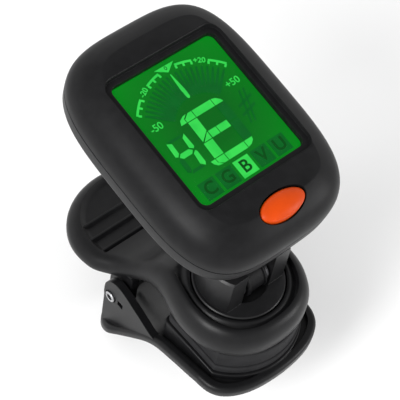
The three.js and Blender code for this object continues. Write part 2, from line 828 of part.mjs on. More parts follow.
// ---------------------------------------------------------------- assembly
function named(name, made, material) {
  const mesh = new THREE.Mesh(geometryOf(made), material);
  mesh.name = name;
  return mesh;
}

const group = new THREE.Group();
group.add(
  named("upper_jaw", upperJaw(), charcoal),
  named("upper_pad", upperPad(), rubber),
  named("lower_jaw", lowerJaw(), charcoal),
  named("lower_pad", lowerPad(), rubber),
  named("hinge_pin", hingePin(), steel),
  named("torsion_spring", torsionSpring(), springSteel),
  named("swivel_disc", swivelDisc(), charcoal),
  named("swivel_washer", flatRing(1.3, 5, 6.1, 6.6), white),
  named("swivel_spring_washer", flatRing(1.3, 3.6, 5.4, 5.8), springSteel),
  named("tilt_screw", tiltScrew(), steel),
  named("tilt_nut", tiltNut(), steel),
  named("friction_washer_left", tiltRing(1.6, 3.4, -3.6, -3.0), springSteel),
  named("friction_washer_right", tiltRing(1.6, 3.4, 3.0, 3.6), springSteel),
  named("swivel_screw", swivelScrew(), steel),
);

const head = new THREE.Group();
head.position.copy(HEAD_ORIGIN);
head.rotation.x = HEAD_TILT;
head.add(
  named("neck", neck(), charcoal),
  named("front_bezel", frontBezel(), charcoal),
  named("rear_cover", rearCover(), charcoal),
  named("battery_door", batteryDoor(), charcoal),
  named("display_window", inOpening(-0.8, -0.1), clear),
  named("lcd_glass", lcdGlass(), glassGreen),
  named("backlight_panel", plate(28, 31.6, 0.6, -5.2, -3.9, 0, 0.6), white),
  named("contact_strip", box(-13, 13, -18.2, -15.8, BOARD.high + GAP, -3.9), rubber),
  named("circuit_board", circuitBoard(), boardGreen),
  named("controller_chip", box(-3.5, 3.5, -14.5, -7.5, -8.4, BOARD.low - GAP), blackChip),
  named("timing_crystal", plate(2.6, 6, 1.2, -8.6, BOARD.low - GAP, 9.5, -10), steel),
  named("tact_switch", tactSwitch(), blackChip),
  named("switch_plunger", column(1.1, -5.1, -3.2, 0, BUTTON.y, 16), white),
  named("power_button", powerButton(), orange),
  named("vibration_sensor", column(5.5, -10.9, -10.3, 0, -12.8, 28), brass),
  named("coin_cell", column(CELL.radius, CELL.low, CELL.high, 0, CELL.y), steel),
  named("positive_contact", positiveContact(), brass),
  named("negative_contact", plate(8, 12, 2, -7.6, BOARD.low - GAP, 0, CELL.y), brass),
);
screwPlaces().forEach(([x, y], i) =>
  head.add(named(`case_screw_${i + 1}`, headScrew(x, y, BACK + 0.2, 1.8, 1, 8.6), springSteel)),
);
[-1, 1].forEach((side, i) => {
  const screw = headScrew(side * 5.5, 21.5, 9.9, 1.7, 1, 5.9);
  const turnedOver = new THREE.Matrix4().makeRotationX(Math.PI);
  head.add(named(`neck_screw_${i + 1}`, screw.transform(turnedOver.elements), steel));
});
group.add(head);

export default group;
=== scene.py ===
"""The looks of a clip-on tuner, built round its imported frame.

Shapes are made in millimetres in the frame of the clamp or of the head, and place() turns them into metres.
The clamp's frame has +Z up the swivel axis and +Y to the finger levers. The head's frame has +X to the
right, +Y up the display and +Z out of it.
"""
import math

import bpy
from mathutils import Matrix, Vector


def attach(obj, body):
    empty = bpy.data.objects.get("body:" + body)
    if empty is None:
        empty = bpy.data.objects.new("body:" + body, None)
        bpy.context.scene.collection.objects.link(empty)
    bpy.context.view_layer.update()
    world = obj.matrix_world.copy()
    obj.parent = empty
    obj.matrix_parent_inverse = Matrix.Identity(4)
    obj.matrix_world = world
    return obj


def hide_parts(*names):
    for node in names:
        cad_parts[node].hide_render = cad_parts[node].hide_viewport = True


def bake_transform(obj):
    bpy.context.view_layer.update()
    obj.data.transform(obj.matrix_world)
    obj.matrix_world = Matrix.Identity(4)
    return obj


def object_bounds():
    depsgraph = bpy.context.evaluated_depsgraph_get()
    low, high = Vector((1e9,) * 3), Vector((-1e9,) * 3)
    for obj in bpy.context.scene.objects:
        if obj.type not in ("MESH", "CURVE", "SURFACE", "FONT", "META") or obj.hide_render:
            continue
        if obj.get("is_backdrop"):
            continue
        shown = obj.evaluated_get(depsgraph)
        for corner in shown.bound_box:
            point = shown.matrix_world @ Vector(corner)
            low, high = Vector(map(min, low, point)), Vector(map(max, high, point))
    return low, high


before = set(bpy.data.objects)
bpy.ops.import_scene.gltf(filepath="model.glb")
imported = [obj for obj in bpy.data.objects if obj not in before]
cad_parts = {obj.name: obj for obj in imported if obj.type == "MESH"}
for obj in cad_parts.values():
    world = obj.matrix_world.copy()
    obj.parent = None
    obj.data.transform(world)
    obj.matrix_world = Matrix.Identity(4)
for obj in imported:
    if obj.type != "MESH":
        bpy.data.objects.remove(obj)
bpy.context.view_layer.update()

MM = 0.001
GAP = 0.3  # running gap between neighbouring pieces
TAU = 2 * math.pi

# Jaws
RING_RADIUS = 15.4
RING_TOP = 12.6
LEVER_CENTRE = 31.8
LEVER_HALF_WIDTH = 17.6
LEVER_END = 48.2
WAIST = (12.9, 13.6)  # half width, and where along the jaw
LEVER_SLOPE = math.radians(9)
THUMB_RADIUS, THUMB_WALL, THUMB_DEPTH, THUMB_FRONT = 14.4, 1.9, 1.1, 27.6
THUMB_RIBS, RIB_DROP = (28.7, 32.8, 37), 0.15
SKIRT_FRONT, SKIRT_REAR = 6.8, 4.0  # height of the upper jaw's side wall
SKIRT_SPAN = (10, 30)
JAW_WALL, JAW_ROOF = 1.7, 1.9
JAW_FILLET = (3.0, 0.72)  # how far inwards, and the share of the wall's height
RING_PLATE = (7.2, 9.0)
LOWER_HALF_WIDTH = 16.4
LOWER_FRONT = -18
TAB_CENTRE, TAB_HALF_WIDTH, TAB_END = 19.6, 17.9, 30.2
RIM_HEIGHT = 2.8
TRAY_WALL, TRAY_FLOOR = 2.0, 1.6
RIM_FILLET = (1.0, 0.36)
PAD_SEAT = -2.7
PAD_FRONT_RADIUS, PAD_HALF_WIDTH, PAD_REAR, PAD_CORNER, PAD_THICKNESS = 15.6, 12.6, 6.6, 1.5, 5.2
PAD_PLUG_RADIUS, PAD_HOLLOW_RADIUS, PAD_RIM = 12.4, 5.8, 0.4

# Hinge
PIN_Y, PIN_Z = 21.8, -9.9
PIN_RADIUS, PIN_BORE, PIN_HALF_LENGTH = 1.45, 0.85, 16.7
EAR = (14.3, 16.2)  # inner and outer face, as for LUG
EAR_SLOT = ((-4.2, -2.4), (-0.4, 1.3))  # in y and in z from the pin's middle
LUG = (11.6, 13.6)
LUG_RADIUS = 3.6
COIL_RADIUS, WIRE_RADIUS, COIL_TURNS, COIL_HALF_WIDTH = 3.1, 0.6, 5, 3.6

# Swivel and tilt
DISC_TOP = 12.3
DISC_RADIUS = 10.35
DISC_THICKNESS = 3
BOSS_RADIUS = 3
CHEEK_INNER, CHEEK_RADIUS, CHEEK_FRONT, CHEEK_REAR, CHEEK_HEIGHT = 3.9, 9.7, -5.3, 6.4, 11.2
RECESS_RADIUS, RECESS_DEPTH = 6.5, 1.5
TILT_Y, TILT_Z = -1.5, DISC_TOP + 3.3
BARREL_RADIUS, BARREL_HALF_WIDTH, BARREL_BORE = 4.2, 2.7, 1.5
TILT_HOLE_RADIUS, TILT_HEAD_SEAT_RADIUS, NUT_SEAT_RADIUS, DISC_HOLE_RADIUS = 1.5, 2.7, 3.0, 1.15
TILT_HEAD_RADIUS, TILT_SHANK_RADIUS = 2.3, 1.2
GROOVE_RIM, GROOVE_DEPTH = 0.7, 0.3
FOOT_WIDTH, FOOT_LENGTH, FOOT_CORNER, FOOT_Y, FOOT_THICKNESS = 15, 16.5, 3, -18.4, 2.4

# Display head
HEAD_TILT = math.radians(9.6)
SCREEN = (26.9, 30.8, 1.6)  # width, height, corner radius
SCREEN_LEDGE = (1.2, 2.4)  # width and corner radius of the sunken frame round the display
HEAD_HALF_WIDTH, HEAD_HALF_HEIGHT, HEAD_CENTRE, HEAD_POWER = 21.2, 28.6, -0.8, 3.65
CREST = 1.2
SPLIT = -8
BACK = -14
HEAD_WALL = 1.8
BARREL_IN_HEAD = (-24.8, -31.6)
BUTTON_Y, BUTTON_WIDTH, BUTTON_HEIGHT, BUTTON_TOP = -23.4, 11.2, 5.4, 2.0
CELL_Y, CELL_RADIUS = 6.5, 10
DOOR_HALF_WIDTH, DOOR_TONGUE, DOOR_BOTTOM = 10.4, 0.7, -7.6
SCREW_PLACES = [(-14.6, 19.5), (14.6, 19.5), (-14.6, -22), (14.6, -22)]
NECK_SCREW_PLACES = [(-5.5, -21.5), (5.5, -21.5)]
SCREW_HOLE_RADIUS, SCREW_BOSS_RADIUS, NECK_HOLE_RADIUS = 1.2, 2.2, 1.25
LCD_FACE = -1.1  # the top of the display's glass
BACKLIGHT_REACH = 21  # how far from the display's middle its green turns brighter

# Photo's camera
LENS, SENSOR = 130.5, 36
CAMERA_PLACE = (-135.0, -96.8, 279.5)
CAMERA_RIGHT, CAMERA_BACK = (0.757, -0.643, 0.118), (-0.436, -0.361, 0.825)

# Lights
SOFTBOX = (120, 200)
BENCH_MIDDLE = (0, 10, 25)

HEAD_TURN = Matrix.Rotation(HEAD_TILT, 4, "X")
HEAD_ORIGIN = Vector((0, TILT_Y, TILT_Z)) - HEAD_TURN @ Vector((0, *BARREL_IN_HEAD))
IN_HEAD = Matrix.Translation(HEAD_ORIGIN) @ HEAD_TURN
IN_CLAMP = Matrix.Identity(4)


# ---------------------------------------------------------------- curves and outlines
def lerp(a, b, share):
    return a + (b - a) * share


def hermite(a, lead_a, b, lead_b, t):
    """A cubic from a at t = 0 to b at t = 1, with the given derivatives at its ends."""
    return (
        (a * (2 * t**3 - 3 * t**2 + 1) + lead_a * (t**3 - 2 * t**2 + t))
        + (b * (3 * t**2 - 2 * t**3) + lead_b * (t**3 - t**2))
    )


def heights(stations):
    """A smooth height along the jaw through (y, z) stations, level beyond the first and the last."""
    last = len(stations) - 1

    def slope(k):
        (y0, z0), (y1, z1) = stations[max(k - 1, 0)], stations[min(k + 1, last)]
        return (z1 - z0) / (y1 - y0)

    def level(y):
        if y <= stations[0][0]:
            return stations[0][1]
        if y >= stations[last][0]:
            return stations[last][1]
        i = max(k for k in range(last) if stations[k][0] <= y)
        (y0, z0), (y1, z1) = stations[i], stations[i + 1]
        run = y1 - y0
        return hermite(z0, slope(i) * run, z1, slope(i + 1) * run, (y - y0) / run)

    return level


def through(points, per_span=16, closed=False):
    """Points along a centripetal Catmull-Rom curve through the given ones."""
    points = [Vector(p) for p in points]
    n = len(points)

    def at(i):
        if closed:
            return points[i % n]
        if i < 0:
            return 2 * points[0] - points[1]
        if i >= n:
            return 2 * points[-1] - points[-2]
        return points[i]

    result = []
    for i in range(n if closed else n - 1):
        p0, p1, p2, p3 = (at(i + k) for k in (-1, 0, 1, 2))
        d0, d1, d2 = (max((b - a).length, 1e-6) ** 0.5 for a, b in ((p0, p1), (p1, p2), (p2, p3)))
        m1 = ((p1 - p0) / d0 - (p2 - p0) / (d0 + d1) + (p2 - p1) / d1) * d1
        m2 = ((p2 - p1) / d1 - (p3 - p1) / (d1 + d2) + (p3 - p2) / d2) * d1
        result += [hermite(p1, m1, p2, m2, j / per_span) for j in range(per_span)]
    if not closed:
        result.append(points[-1].copy())
    return result


def evenly(points, count):
    """The path resampled to count + 1 points at equal distances."""
    runs = [0]
    for a, b in zip(points, points[1:]):
        runs.append(runs[-1] + (b - a).length)
    result = []
    k = 0
    for i in range(count + 1):
        want = runs[-1] * i / count
        while k < len(points) - 2 and runs[k + 1] < want:
            k += 1
        span = runs[k + 1] - runs[k]
        result.append(points[k].lerp(points[k + 1], (want - runs[k]) / span if span else 0))
    return result


def ends_on_axis(half):
    half[0].x = half[-1].x = 0
    return half


def half_outline(points, steps):
    """The right-hand half of a symmetric outline, from front tip to rear tip."""
    mirrored = [(-x, y) for x, y in reversed(points[1:-1])]
    curve = through(points + mirrored, 24, closed=True)
    return ends_on_axis(evenly(curve + [curve[0]], 2 * steps)[: steps + 1])


def inset(half, distance):
    """The half outline moved inwards."""
    last = len(half) - 1
    result = []
    for i, p in enumerate(half):
        before = half[i - 1] if i > 0 else Vector((-half[1].x, half[1].y))
        after = half[i + 1] if i < last else Vector((-half[last - 1].x, half[last - 1].y))
        along = (after - before).normalized()
        moved = Vector((p.x - along.y * distance, p.y + along.x * distance))
        if i in (0, last):
            moved.x = 0
        result.append(moved)
    return result


def loop(half, level):
    """A whole loop at the heights level(y): the half outline and its mirror image."""
    right = [Vector((p.x, p.y, level(p.y))) for p in half]
    left = [Vector((-p.x, p.y, p.z)) for p in reversed(right[1:-1])]
    return right + left


def arc(radius, start, end, steps, centre=(0, 0)):
    angles = [math.radians(lerp(start, end, i / steps)) for i in range(steps + 1)]
    return [Vector((centre[0] + radius * math.cos(a), centre[1] + radius * math.sin(a))) for a in angles]


def rounded_rectangle(width, height, radius, centre=(0, 0), steps=8):
    x, y = width / 2 - radius, height / 2 - radius
    corners = [(x, y, 0), (-x, y, 90), (-x, -y, 180), (x, -y, 270)]
    points = []
    for cx, cy, start in corners:
        points += arc(radius, start, start + 90, steps, (cx + centre[0], cy + centre[1]))
    return points


def button_oval(width, height):
    """An oval round the button's middle."""
    steps = 96
    angles = [TAU * i / steps for i in range(steps)]
    return [Vector((width / 2 * math.cos(a), BUTTON_Y + height / 2 * math.sin(a))) for a in angles]


def grown(points, distance):
    """A closed outline moved outwards, or inwards for a negative distance."""
    count = len(points)
    result = []
    for i, p in enumerate(points):
        along = (points[(i + 1) % count] - points[i - 1]).normalized()
        result.append(Vector((p.x + along.y * distance, p.y - along.x * distance)))
    return result


# ---------------------------------------------------------------- meshes
def add_object(name, data):
    made = bpy.data.objects.new(name, data)
    bpy.context.scene.collection.objects.link(made)
    return made


def new_object(name, vertices, faces):
    mesh = bpy.data.meshes.new(name)
    mesh.from_pydata([tuple(v) for v in vertices], [], faces)
    mesh.update()
    return add_object(name, mesh)


def wall_faces(total, count):
    """The faces between equal rings of count vertices, listed from bottom to top, total in all."""
    faces = []
    for base in range(0, total - count, count):
        for i in range(count):
            j = (i + 1) % count
            faces.append((base + i, base + j, base + j + count, base + i + count))
    return faces


def stacked(name, vertices, count):
    """A closed solid from equal rings of count vertices, listed from bottom to top."""
    total = len(vertices)
    bottom, top = tuple(range(count))[::-1], tuple(range(total - count, total))
    return new_object(name, vertices, [bottom, *wall_faces(total, count), top])


def lofted(name, loops, top=None, across=1):
    """A closed solid through loops from bottom to top. Its caps run straight across the symmetry plane,
    and top(x, y) gives the upper cap's heights where it isn't a plain strip."""
    count = len(loops[0])
    half = count // 2
    vertices = [v for one in loops for v in one]
    faces = wall_faces(len(vertices), count)

    def cap(ring_index, up, height, divisions):
        base = ring_index * count
        rows = []
        for i in range(half + 1):
            right, left = base + i, base + (count - i) % count
            if right == left:
                rows.append([right])
                continue
            row = [right]
            for j in range(1, divisions):
                spot = vertices[right].lerp(vertices[left], j / divisions)
                if height:
                    spot.z = height(spot.x, spot.y)
                vertices.append(spot)
                row.append(len(vertices) - 1)
            rows.append(row + [left])
        for low, high in zip(rows, rows[1:]):
            if len(low) == 1:
                pieces = [(low[0], high[j], high[j + 1]) for j in range(len(high) - 1)]
            elif len(high) == 1:
                pieces = [(low[j], high[0], low[j + 1]) for j in range(len(low) - 1)]
            else:
                pieces = [(low[j], high[j], high[j + 1], low[j + 1]) for j in range(len(low) - 1)]
            faces.extend(p if up else p[::-1] for p in pieces)

    cap(0, False, None, 1)
    cap(len(loops) - 1, True, top, across)
    return new_object(name, vertices, faces)


def between(name, half, bottom, top):
    """A solid over the whole outline from the height bottom(y) to top(y)."""
    return lofted(name, [loop(half, bottom), loop(half, top)])


def moulding(name, half, bottom, top, fillet, steps=10, foot=0.35, surface=None, across=1):
    """A moulding with a plain wall, an edge rolled over at top(y) and a small radius at its foot."""
    inward, share = fillet
    loops = [
        loop(inset(half, foot), bottom),
        loop(inset(half, foot * 0.3), lambda y: bottom(y) + foot * 0.3),
        loop(half, lambda y: bottom(y) + foot),
    ]
    for i in range(steps + 1):
        angle = i / steps * math.pi / 2
        drop = share * (1 - math.sin(angle))
        ring = inset(half, inward * (1 - math.cos(angle)))
        loops.append(loop(ring, lambda y, drop=drop: lerp(top(y), bottom(y), drop)))
    return lofted(name, loops, surface, across)


def prism(name, outline, z0, z1, edge=0.0):
    """A plate from a closed outline, with rounded rims where edge is given."""
    steps = 4

    def rim(z, way):
        if not edge:
            return [(outline, z)]
        angles = [i / steps * math.pi / 2 for i in range(steps + 1)]
        return [
            (grown(outline, edge * (math.sin(a) - 1)), z - way * edge * (1 - math.cos(a))) for a in angles
        ]

    rings = [*rim(z0, -1), *reversed(rim(z1, 1))]
    return stacked(name, [(p.x, p.y, z) for points, z in rings for p in points], len(outline))


def side_prism(name, outline, x0, x1):
    """A plate across X from an outline of (y, z) points."""
    made = prism(name, [Vector(p) for p in outline], x0, x1)
    turn = Matrix(((0, 0, 1, 0), (1, 0, 0, 0), (0, 1, 0, 0), (0, 0, 0, 1)))
    made.data.transform(turn)
    return made


def turned(name, profile, sides=64):
    """A solid of revolution about Z from (radius, z) points that start and end on the axis."""
    vertices = [(0, 0, profile[0][1])]
    rings = []
    for radius, z in profile[1:-1]:
        rings.append(len(vertices))
        for i in range(sides):
            angle = TAU * i / sides
            vertices.append((radius * math.cos(angle), radius * math.sin(angle), z))
    vertices.append((0, 0, profile[-1][1]))
    tip = len(vertices) - 1
    faces = []
    for i in range(sides):
        j = (i + 1) % sides
        faces.append((0, rings[0] + j, rings[0] + i))
        faces.append((tip, rings[-1] + i, rings[-1] + j))
        for a, b in zip(rings, rings[1:]):
            faces.append((a + i, a + j, b + j, b + i))
    return new_object(name, vertices, faces)


def column(name, radius, z0, z1, x=0, y=0, sides=64, edge=0.0):
    """A round post about Z, with its rims eased where edge is given."""
    profile = [(0, z0), (radius, z0), (radius, z1), (0, z1)]
    if edge:
        inner = radius - edge
        profile[1:3] = [(inner, z0), (radius, z0 + edge), (radius, z1 - edge), (inner, z1)]
    made = turned(name, profile, sides)
    made.data.transform(Matrix.Translation((x, y, 0)))
    return made


def bar(name, radius, x0, x1, y, z, sides=64, edge=0.0):
    """A round post about X."""
    made = column(name, radius, x0, x1, sides=sides, edge=edge)
    made.data.transform(Matrix.Translation((0, y, z)) @ Matrix.Rotation(math.pi / 2, 4, "Y"))
    return made


def block(name, x0, x1, y0, y1, z0, z1):
    outline = [Vector((x0, y0)), Vector((x1, y0)), Vector((x1, y1)), Vector((x0, y1))]
    return prism(name, outline, z0, z1)


def combine(base, tools, operation):
    """Joins or cuts with each tool in turn, and keeps the result as the mesh."""
    for tool in tools:
        modifier = base.modifiers.new("shape", "BOOLEAN")
        modifier.operation = operation
        modifier.solver = "MANIFOLD"
        modifier.object = tool
        bake(base)
        bpy.data.objects.remove(tool)
    return base


def join(base, *tools):
    return combine(base, tools, "UNION")


def cut(base, *tools):
    return combine(base, tools, "DIFFERENCE")


def meet(base, *tools):
    return combine(base, tools, "INTERSECT")


def evaluated_mesh(made):
    graph = bpy.context.evaluated_depsgraph_get()
    graph.update()
    return bpy.data.meshes.new_from_object(made.evaluated_get(graph))


def bake(made):
    mesh = evaluated_mesh(made)
    made.modifiers.clear()
    old, made.data = made.data, mesh
    bpy.data.meshes.remove(old)


def place(made, name, material, body, nodes=(), where=IN_CLAMP, smooth=32, *, slot):
    """Puts a finished shape into the scene in metres, as a piece that rides on a body if one is given.
    Faces that meet at less than smooth degrees are shaded as one surface."""
    made.name = made.data.name = name
    made.data.transform(Matrix.Scale(MM, 4) @ where)
    made.data.materials.clear()
    made.data.materials.append(material)
    made.data.shade_smooth()
    made.data.set_sharp_from_angle(angle=math.radians(smooth))
    if body:
        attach(made, body)
    if nodes:
        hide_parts(*nodes)


# ---------------------------------------------------------------- materials
def shader(name):
    material = bpy.data.materials.new(name)
    material.use_nodes = True
    tree = material.node_tree
    return material, tree, tree.nodes["Principled BSDF"]


def feed(tree, node, inputs):
    """Links each named input where its value is a socket, and sets it where the value is a constant."""
    for name, value in inputs.items():
        if isinstance(value, bpy.types.NodeSocket):
            tree.links.new(value, node.inputs[name])
        else:
            node.inputs[name].default_value = value


def added(tree, kind, output, inputs):
    """The named output of a new node with the given inputs."""
    node = tree.nodes.new(kind)
    feed(tree, node, inputs)
    return node.outputs[output]


def place_texture(tree, stretch=(1, 1, 1)):
    """Object coordinates in millimetres, stretched where a finish runs one way."""
    spot = added(tree, "ShaderNodeTexCoord", "Object", {})
    return added(tree, "ShaderNodeMapping", "Vector", {"Vector": spot, "Scale": [s / MM for s in stretch]})


def noise(tree, vector, scale, detail=3):
    return added(tree, "ShaderNodeTexNoise", "Fac", {"Vector": vector, "Scale": scale, "Detail": detail})


def two_tones(tree, value, dark, light, low=0.35, high=0.65):
    node = tree.nodes.new("ShaderNodeValToRGB")
    for element, position, colour in zip(node.color_ramp.elements, (low, high), (dark, light)):
        element.position = position
        element.color = (*colour, 1)
    feed(tree, node, {"Fac": value})
    return node.outputs["Color"]


def spread(tree, value, low, high, start=0.3, end=0.7):
    """A value carried over from the range start to end to the range low to high."""
    limits = {"From Min": start, "From Max": end, "To Min": low, "To Max": high}
    return added(tree, "ShaderNodeMapRange", "Result", {"Value": value, **limits})


def eased_edges(tree, radius):
    """Edges that catch the light as if they had a small radius, in millimetres."""
    bevel = tree.nodes.new("ShaderNodeBevel")
    bevel.samples = 6
    feed(tree, bevel, {"Radius": radius * MM})
    return bevel.outputs["Normal"]


def finish(name, colour, roughness, grain, variation=0.12, relief=0.05, edge=0.2, metallic=0.0,
           stretch=(1, 1, 1), specular=0.5):
    """A surface with a fine grain: mottled colour, uneven gloss and a low relief, grain in mm."""
    material, tree, bsdf = shader(name)
    vector = place_texture(tree, stretch)
    fine = noise(tree, vector, 1 / grain)
    broad = noise(tree, vector, 1 / (grain * 14), 2)
    dark = [c * (1 - variation) for c in colour]
    light = [min(c * (1 + variation), 1) for c in colour]
    bump = {"Strength": relief, "Distance": grain * MM * 0.25, "Height": fine}
    if edge:
        bump["Normal"] = eased_edges(tree, edge)
    feed(tree, bsdf, {
        "Base Color": two_tones(tree, broad, dark, light),
        "Roughness": spread(tree, fine, roughness - 0.04, roughness + 0.05),
        "Normal": added(tree, "ShaderNodeBump", "Normal", bump),
        "Metallic": metallic,
        "Specular IOR Level": specular,
    })
    return material


def glow(tree, bsdf, colour):
    """Lets a surface of the display shine, and reflect almost nothing."""
    feed(tree, bsdf, {
        "Base Color": (0.002, 0.01, 0.003, 1),
        "Emission Color": colour,
        "Emission Strength": 1.0,
        "Roughness": 0.6,
        "Specular IOR Level": 0.05,
    })


def lit(name, dark, light):
    """A glowing part of the display, a little uneven as a backlight is."""
    material, tree, bsdf = shader(name)
    feature = 2.5
    cloudy = noise(tree, place_texture(tree), 1 / feature, 1)
    glow(tree, bsdf, two_tones(tree, cloudy, dark, light, 0.3, 0.7))
    return material


def backlit(name):
    """The display's ground: green, and darker towards the middle."""
    material, tree, bsdf = shader(name)
    mapping = tree.nodes.new("ShaderNodeMapping")
    mapping.vector_type = "TEXTURE"
    feed(tree, mapping, {
        "Vector": added(tree, "ShaderNodeTexCoord", "Object", {}),
        "Location": HEAD_ORIGIN * MM,
        "Scale": [BACKLIGHT_REACH * MM] * 3,
    })
    ball = tree.nodes.new("ShaderNodeTexGradient")
    ball.gradient_type = "SPHERICAL"
    feed(tree, ball, {"Vector": mapping.outputs["Vector"]})
    rim, middle = (0.0, 0.225, 0.008), (0.0, 0.122, 0.006)
    glow(tree, bsdf, two_tones(tree, ball.outputs["Fac"], rim, middle, 0.1, 0.75))
    return material


def clear_window(name):
    """The display's window: nearly clear, with a faint unevenness in its polish."""
    material, tree, bsdf = shader(name)
    polish = noise(tree, place_texture(tree), 0.4, 1)
    feed(tree, bsdf, {
        "Roughness": spread(tree, polish, 0.05, 0.09),
        "Base Color": two_tones(tree, polish, (0.01, 0.04, 0.02), (0.012, 0.05, 0.024)),
        "Alpha": 0.02,
        "Specular IOR Level": 0.15,
    })
    return material


CASE = finish("case_plastic", (0.0075, 0.0075, 0.008), 0.40, 0.16, specular=0.09)
JAW = finish("jaw_plastic", (0.0052, 0.0052, 0.0057), 0.37, 0.16, specular=0.17)
SWIVEL = finish("swivel_plastic", (0.0075, 0.0075, 0.008), 0.38, 0.16, specular=0.26)
PAD = finish("pad_rubber", (0.016, 0.016, 0.017), 0.62, 0.3, relief=0.12, specular=0.08)
NECK = finish("neck_plastic", (0.0045, 0.0045, 0.005), 0.42, 0.16, specular=0.1)
STEEL = finish("bright_steel", (0.44, 0.44, 0.45), 0.32, 0.1, metallic=1.0, edge=0.1, stretch=(0.15, 1, 1))
SPRING_STEEL = finish("spring_steel", (0.09, 0.09, 0.095), 0.36, 0.12, metallic=1.0, edge=0.0)
DARK_SCREW = finish("dark_screw", (0.055, 0.055, 0.06), 0.35, 0.1, metallic=1.0, edge=0.08)
WHITE = finish("white_plastic", (0.78, 0.78, 0.75), 0.45, 0.3, variation=0.04)
ORANGE = finish("orange_plastic", (0.50, 0.048, 0.002), 0.40, 0.2, variation=0.05, relief=0.03, edge=0.15,
                specular=0.12)
CIRCUIT = finish("circuit_green", (0.012, 0.10, 0.045), 0.4, 0.4, variation=0.3)
CHIP = finish("chip_black", (0.012, 0.012, 0.013), 0.5, 0.12)
ZEBRA = finish("zebra_rubber", (0.25, 0.25, 0.24), 0.6, 0.1, variation=0.5, stretch=(1, 0.05, 0.05))
BRASS = finish("brass", (0.72, 0.47, 0.16), 0.3, 0.15, metallic=1.0, edge=0.08)
BACKLIT = backlit("lcd_green")
LIT = lit("lcd_lit", (0.03, 0.64, 0.075), (0.045, 0.74, 0.09))
FAINT = lit("lcd_faint", (0.0, 0.108, 0.012), (0.0, 0.128, 0.014))
SHADOW = lit("lcd_shadow", (0.0, 0.055, 0.004), (0.0, 0.065, 0.005))
WINDOW = clear_window("clear_window")


# ---------------------------------------------------------------- jaws
crest = heights([
    (4, RING_TOP), (10, 11.7), (13.5, 9.8), (16, 7.6), (18.7, 4.6), (22, 1.7), (26, -0.4), (30, -1.6),
    (LEVER_END, -1.6 - (LEVER_END - 30) * math.tan(LEVER_SLOPE)),
])
lower_bottom = heights([
    (-8, -6.1), (-3, -7.4), (2, -8.8), (5.4, -10), (8.6, -12.1), (12.9, -16.3), (17, -20.4), (21, -23.7),
    (25, -26.4), (TAB_END, -29.2),
])


def skirt_bottom(y):
    share = min(max((y - SKIRT_SPAN[0]) / (SKIRT_SPAN[1] - SKIRT_SPAN[0]), 0), 1)
    return crest(y) - lerp(SKIRT_FRONT, SKIRT_REAR, share)


def round_end(half_width, centre, end, degrees):
    """Points of an oval end about y = centre that reaches back to y = end."""
    angles = [math.radians(d) for d in degrees]
    return [(half_width * math.cos(a), centre + (end - centre) * math.sin(a)) for a in angles]


def upper_outline(steps):
    half_width, waist_y = WAIST
    points = []
    for degrees in (-90, -67, -45, -22, 0):
        angle = math.radians(degrees)
        radius = RING_RADIUS * (1 + 0.05 * math.sin(2 * angle) ** 2)
        points.append((radius * math.cos(angle), radius * math.sin(angle)))
    points += [(half_width + 1.8, 5), (half_width + 0.6, 9.5), (half_width, waist_y)]
    points += [(half_width + 0.3, 18.5), (half_width + 1.9, 23.2)]
    points += round_end(LEVER_HALF_WIDTH, LEVER_CENTRE, LEVER_END, (-10, 15, 40, 65, 90))
    return half_outline(points, steps)


GROOVE_END = 14.7
dish_profile = heights([
    (10.6, 12.05), (11.0, 12.3), (11.5, 12.15), (12.1, 11.65), (12.8, 11.35), (13.4, 11.5), (14.0, 11.95),
    (GROOVE_END, RING_TOP),
])


def upper_surface(x, y):
    """The upper jaw's top: the crest line, with a shallow groove round the disc."""
    radius = math.hypot(x, y)
    if radius > GROOVE_END:
        return crest(y)
    return min(crest(y), dish_profile(radius))


def upper_jaw():
    outline = upper_outline(150)
    body = moulding(
        "body", outline, skirt_bottom, crest, JAW_FILLET, steps=14, surface=upper_surface, across=72
    )
    walls = inset(outline, JAW_WALL)
    inside = between("inside", walls, lambda y: -30, lambda y: min(crest(y) - JAW_ROOF, RING_PLATE[0]))
    seat = column("seat", DISC_RADIUS + GAP, RING_PLATE[1], RING_TOP + 2, sides=128)
    hole = column("hole", BOSS_RADIUS + GAP, RING_PLATE[0] - 1, RING_PLATE[1] + 1)
    cut(body, inside, seat, hole)
    join(body, *hinge_lugs())
    return cut(body, thumb_recess(), *pin_holes(LUG))


def both_sides(part, extra=0):
    """The x range of a part and of its mirror image, longer by extra at both ends."""
    near, far = part[0] - extra, part[1] + extra
    return [(-far, -near), (near, far)]


def hinge_lugs():
    lugs = []
    for x0, x1 in both_sides(LUG):
        lug = bar("lug", LUG_RADIUS, x0, x1, PIN_Y, PIN_Z)
        web_top = crest(PIN_Y + LUG_RADIUS) - 1
        web = block("web", x0, x1, PIN_Y - LUG_RADIUS, PIN_Y + LUG_RADIUS, PIN_Z, web_top)
        lugs.append(join(lug, web))
    return lugs


def pin_holes(part):
    return [bar("pin_hole", PIN_RADIUS + GAP, *span, PIN_Y, PIN_Z) for span in both_sides(part, 1)]


def on_lever(made):
    slope = Matrix.Rotation(-LEVER_SLOPE, 4, "X")
    made.data.transform(Matrix.Translation((0, LEVER_CENTRE, crest(LEVER_CENTRE))) @ slope)
    return made


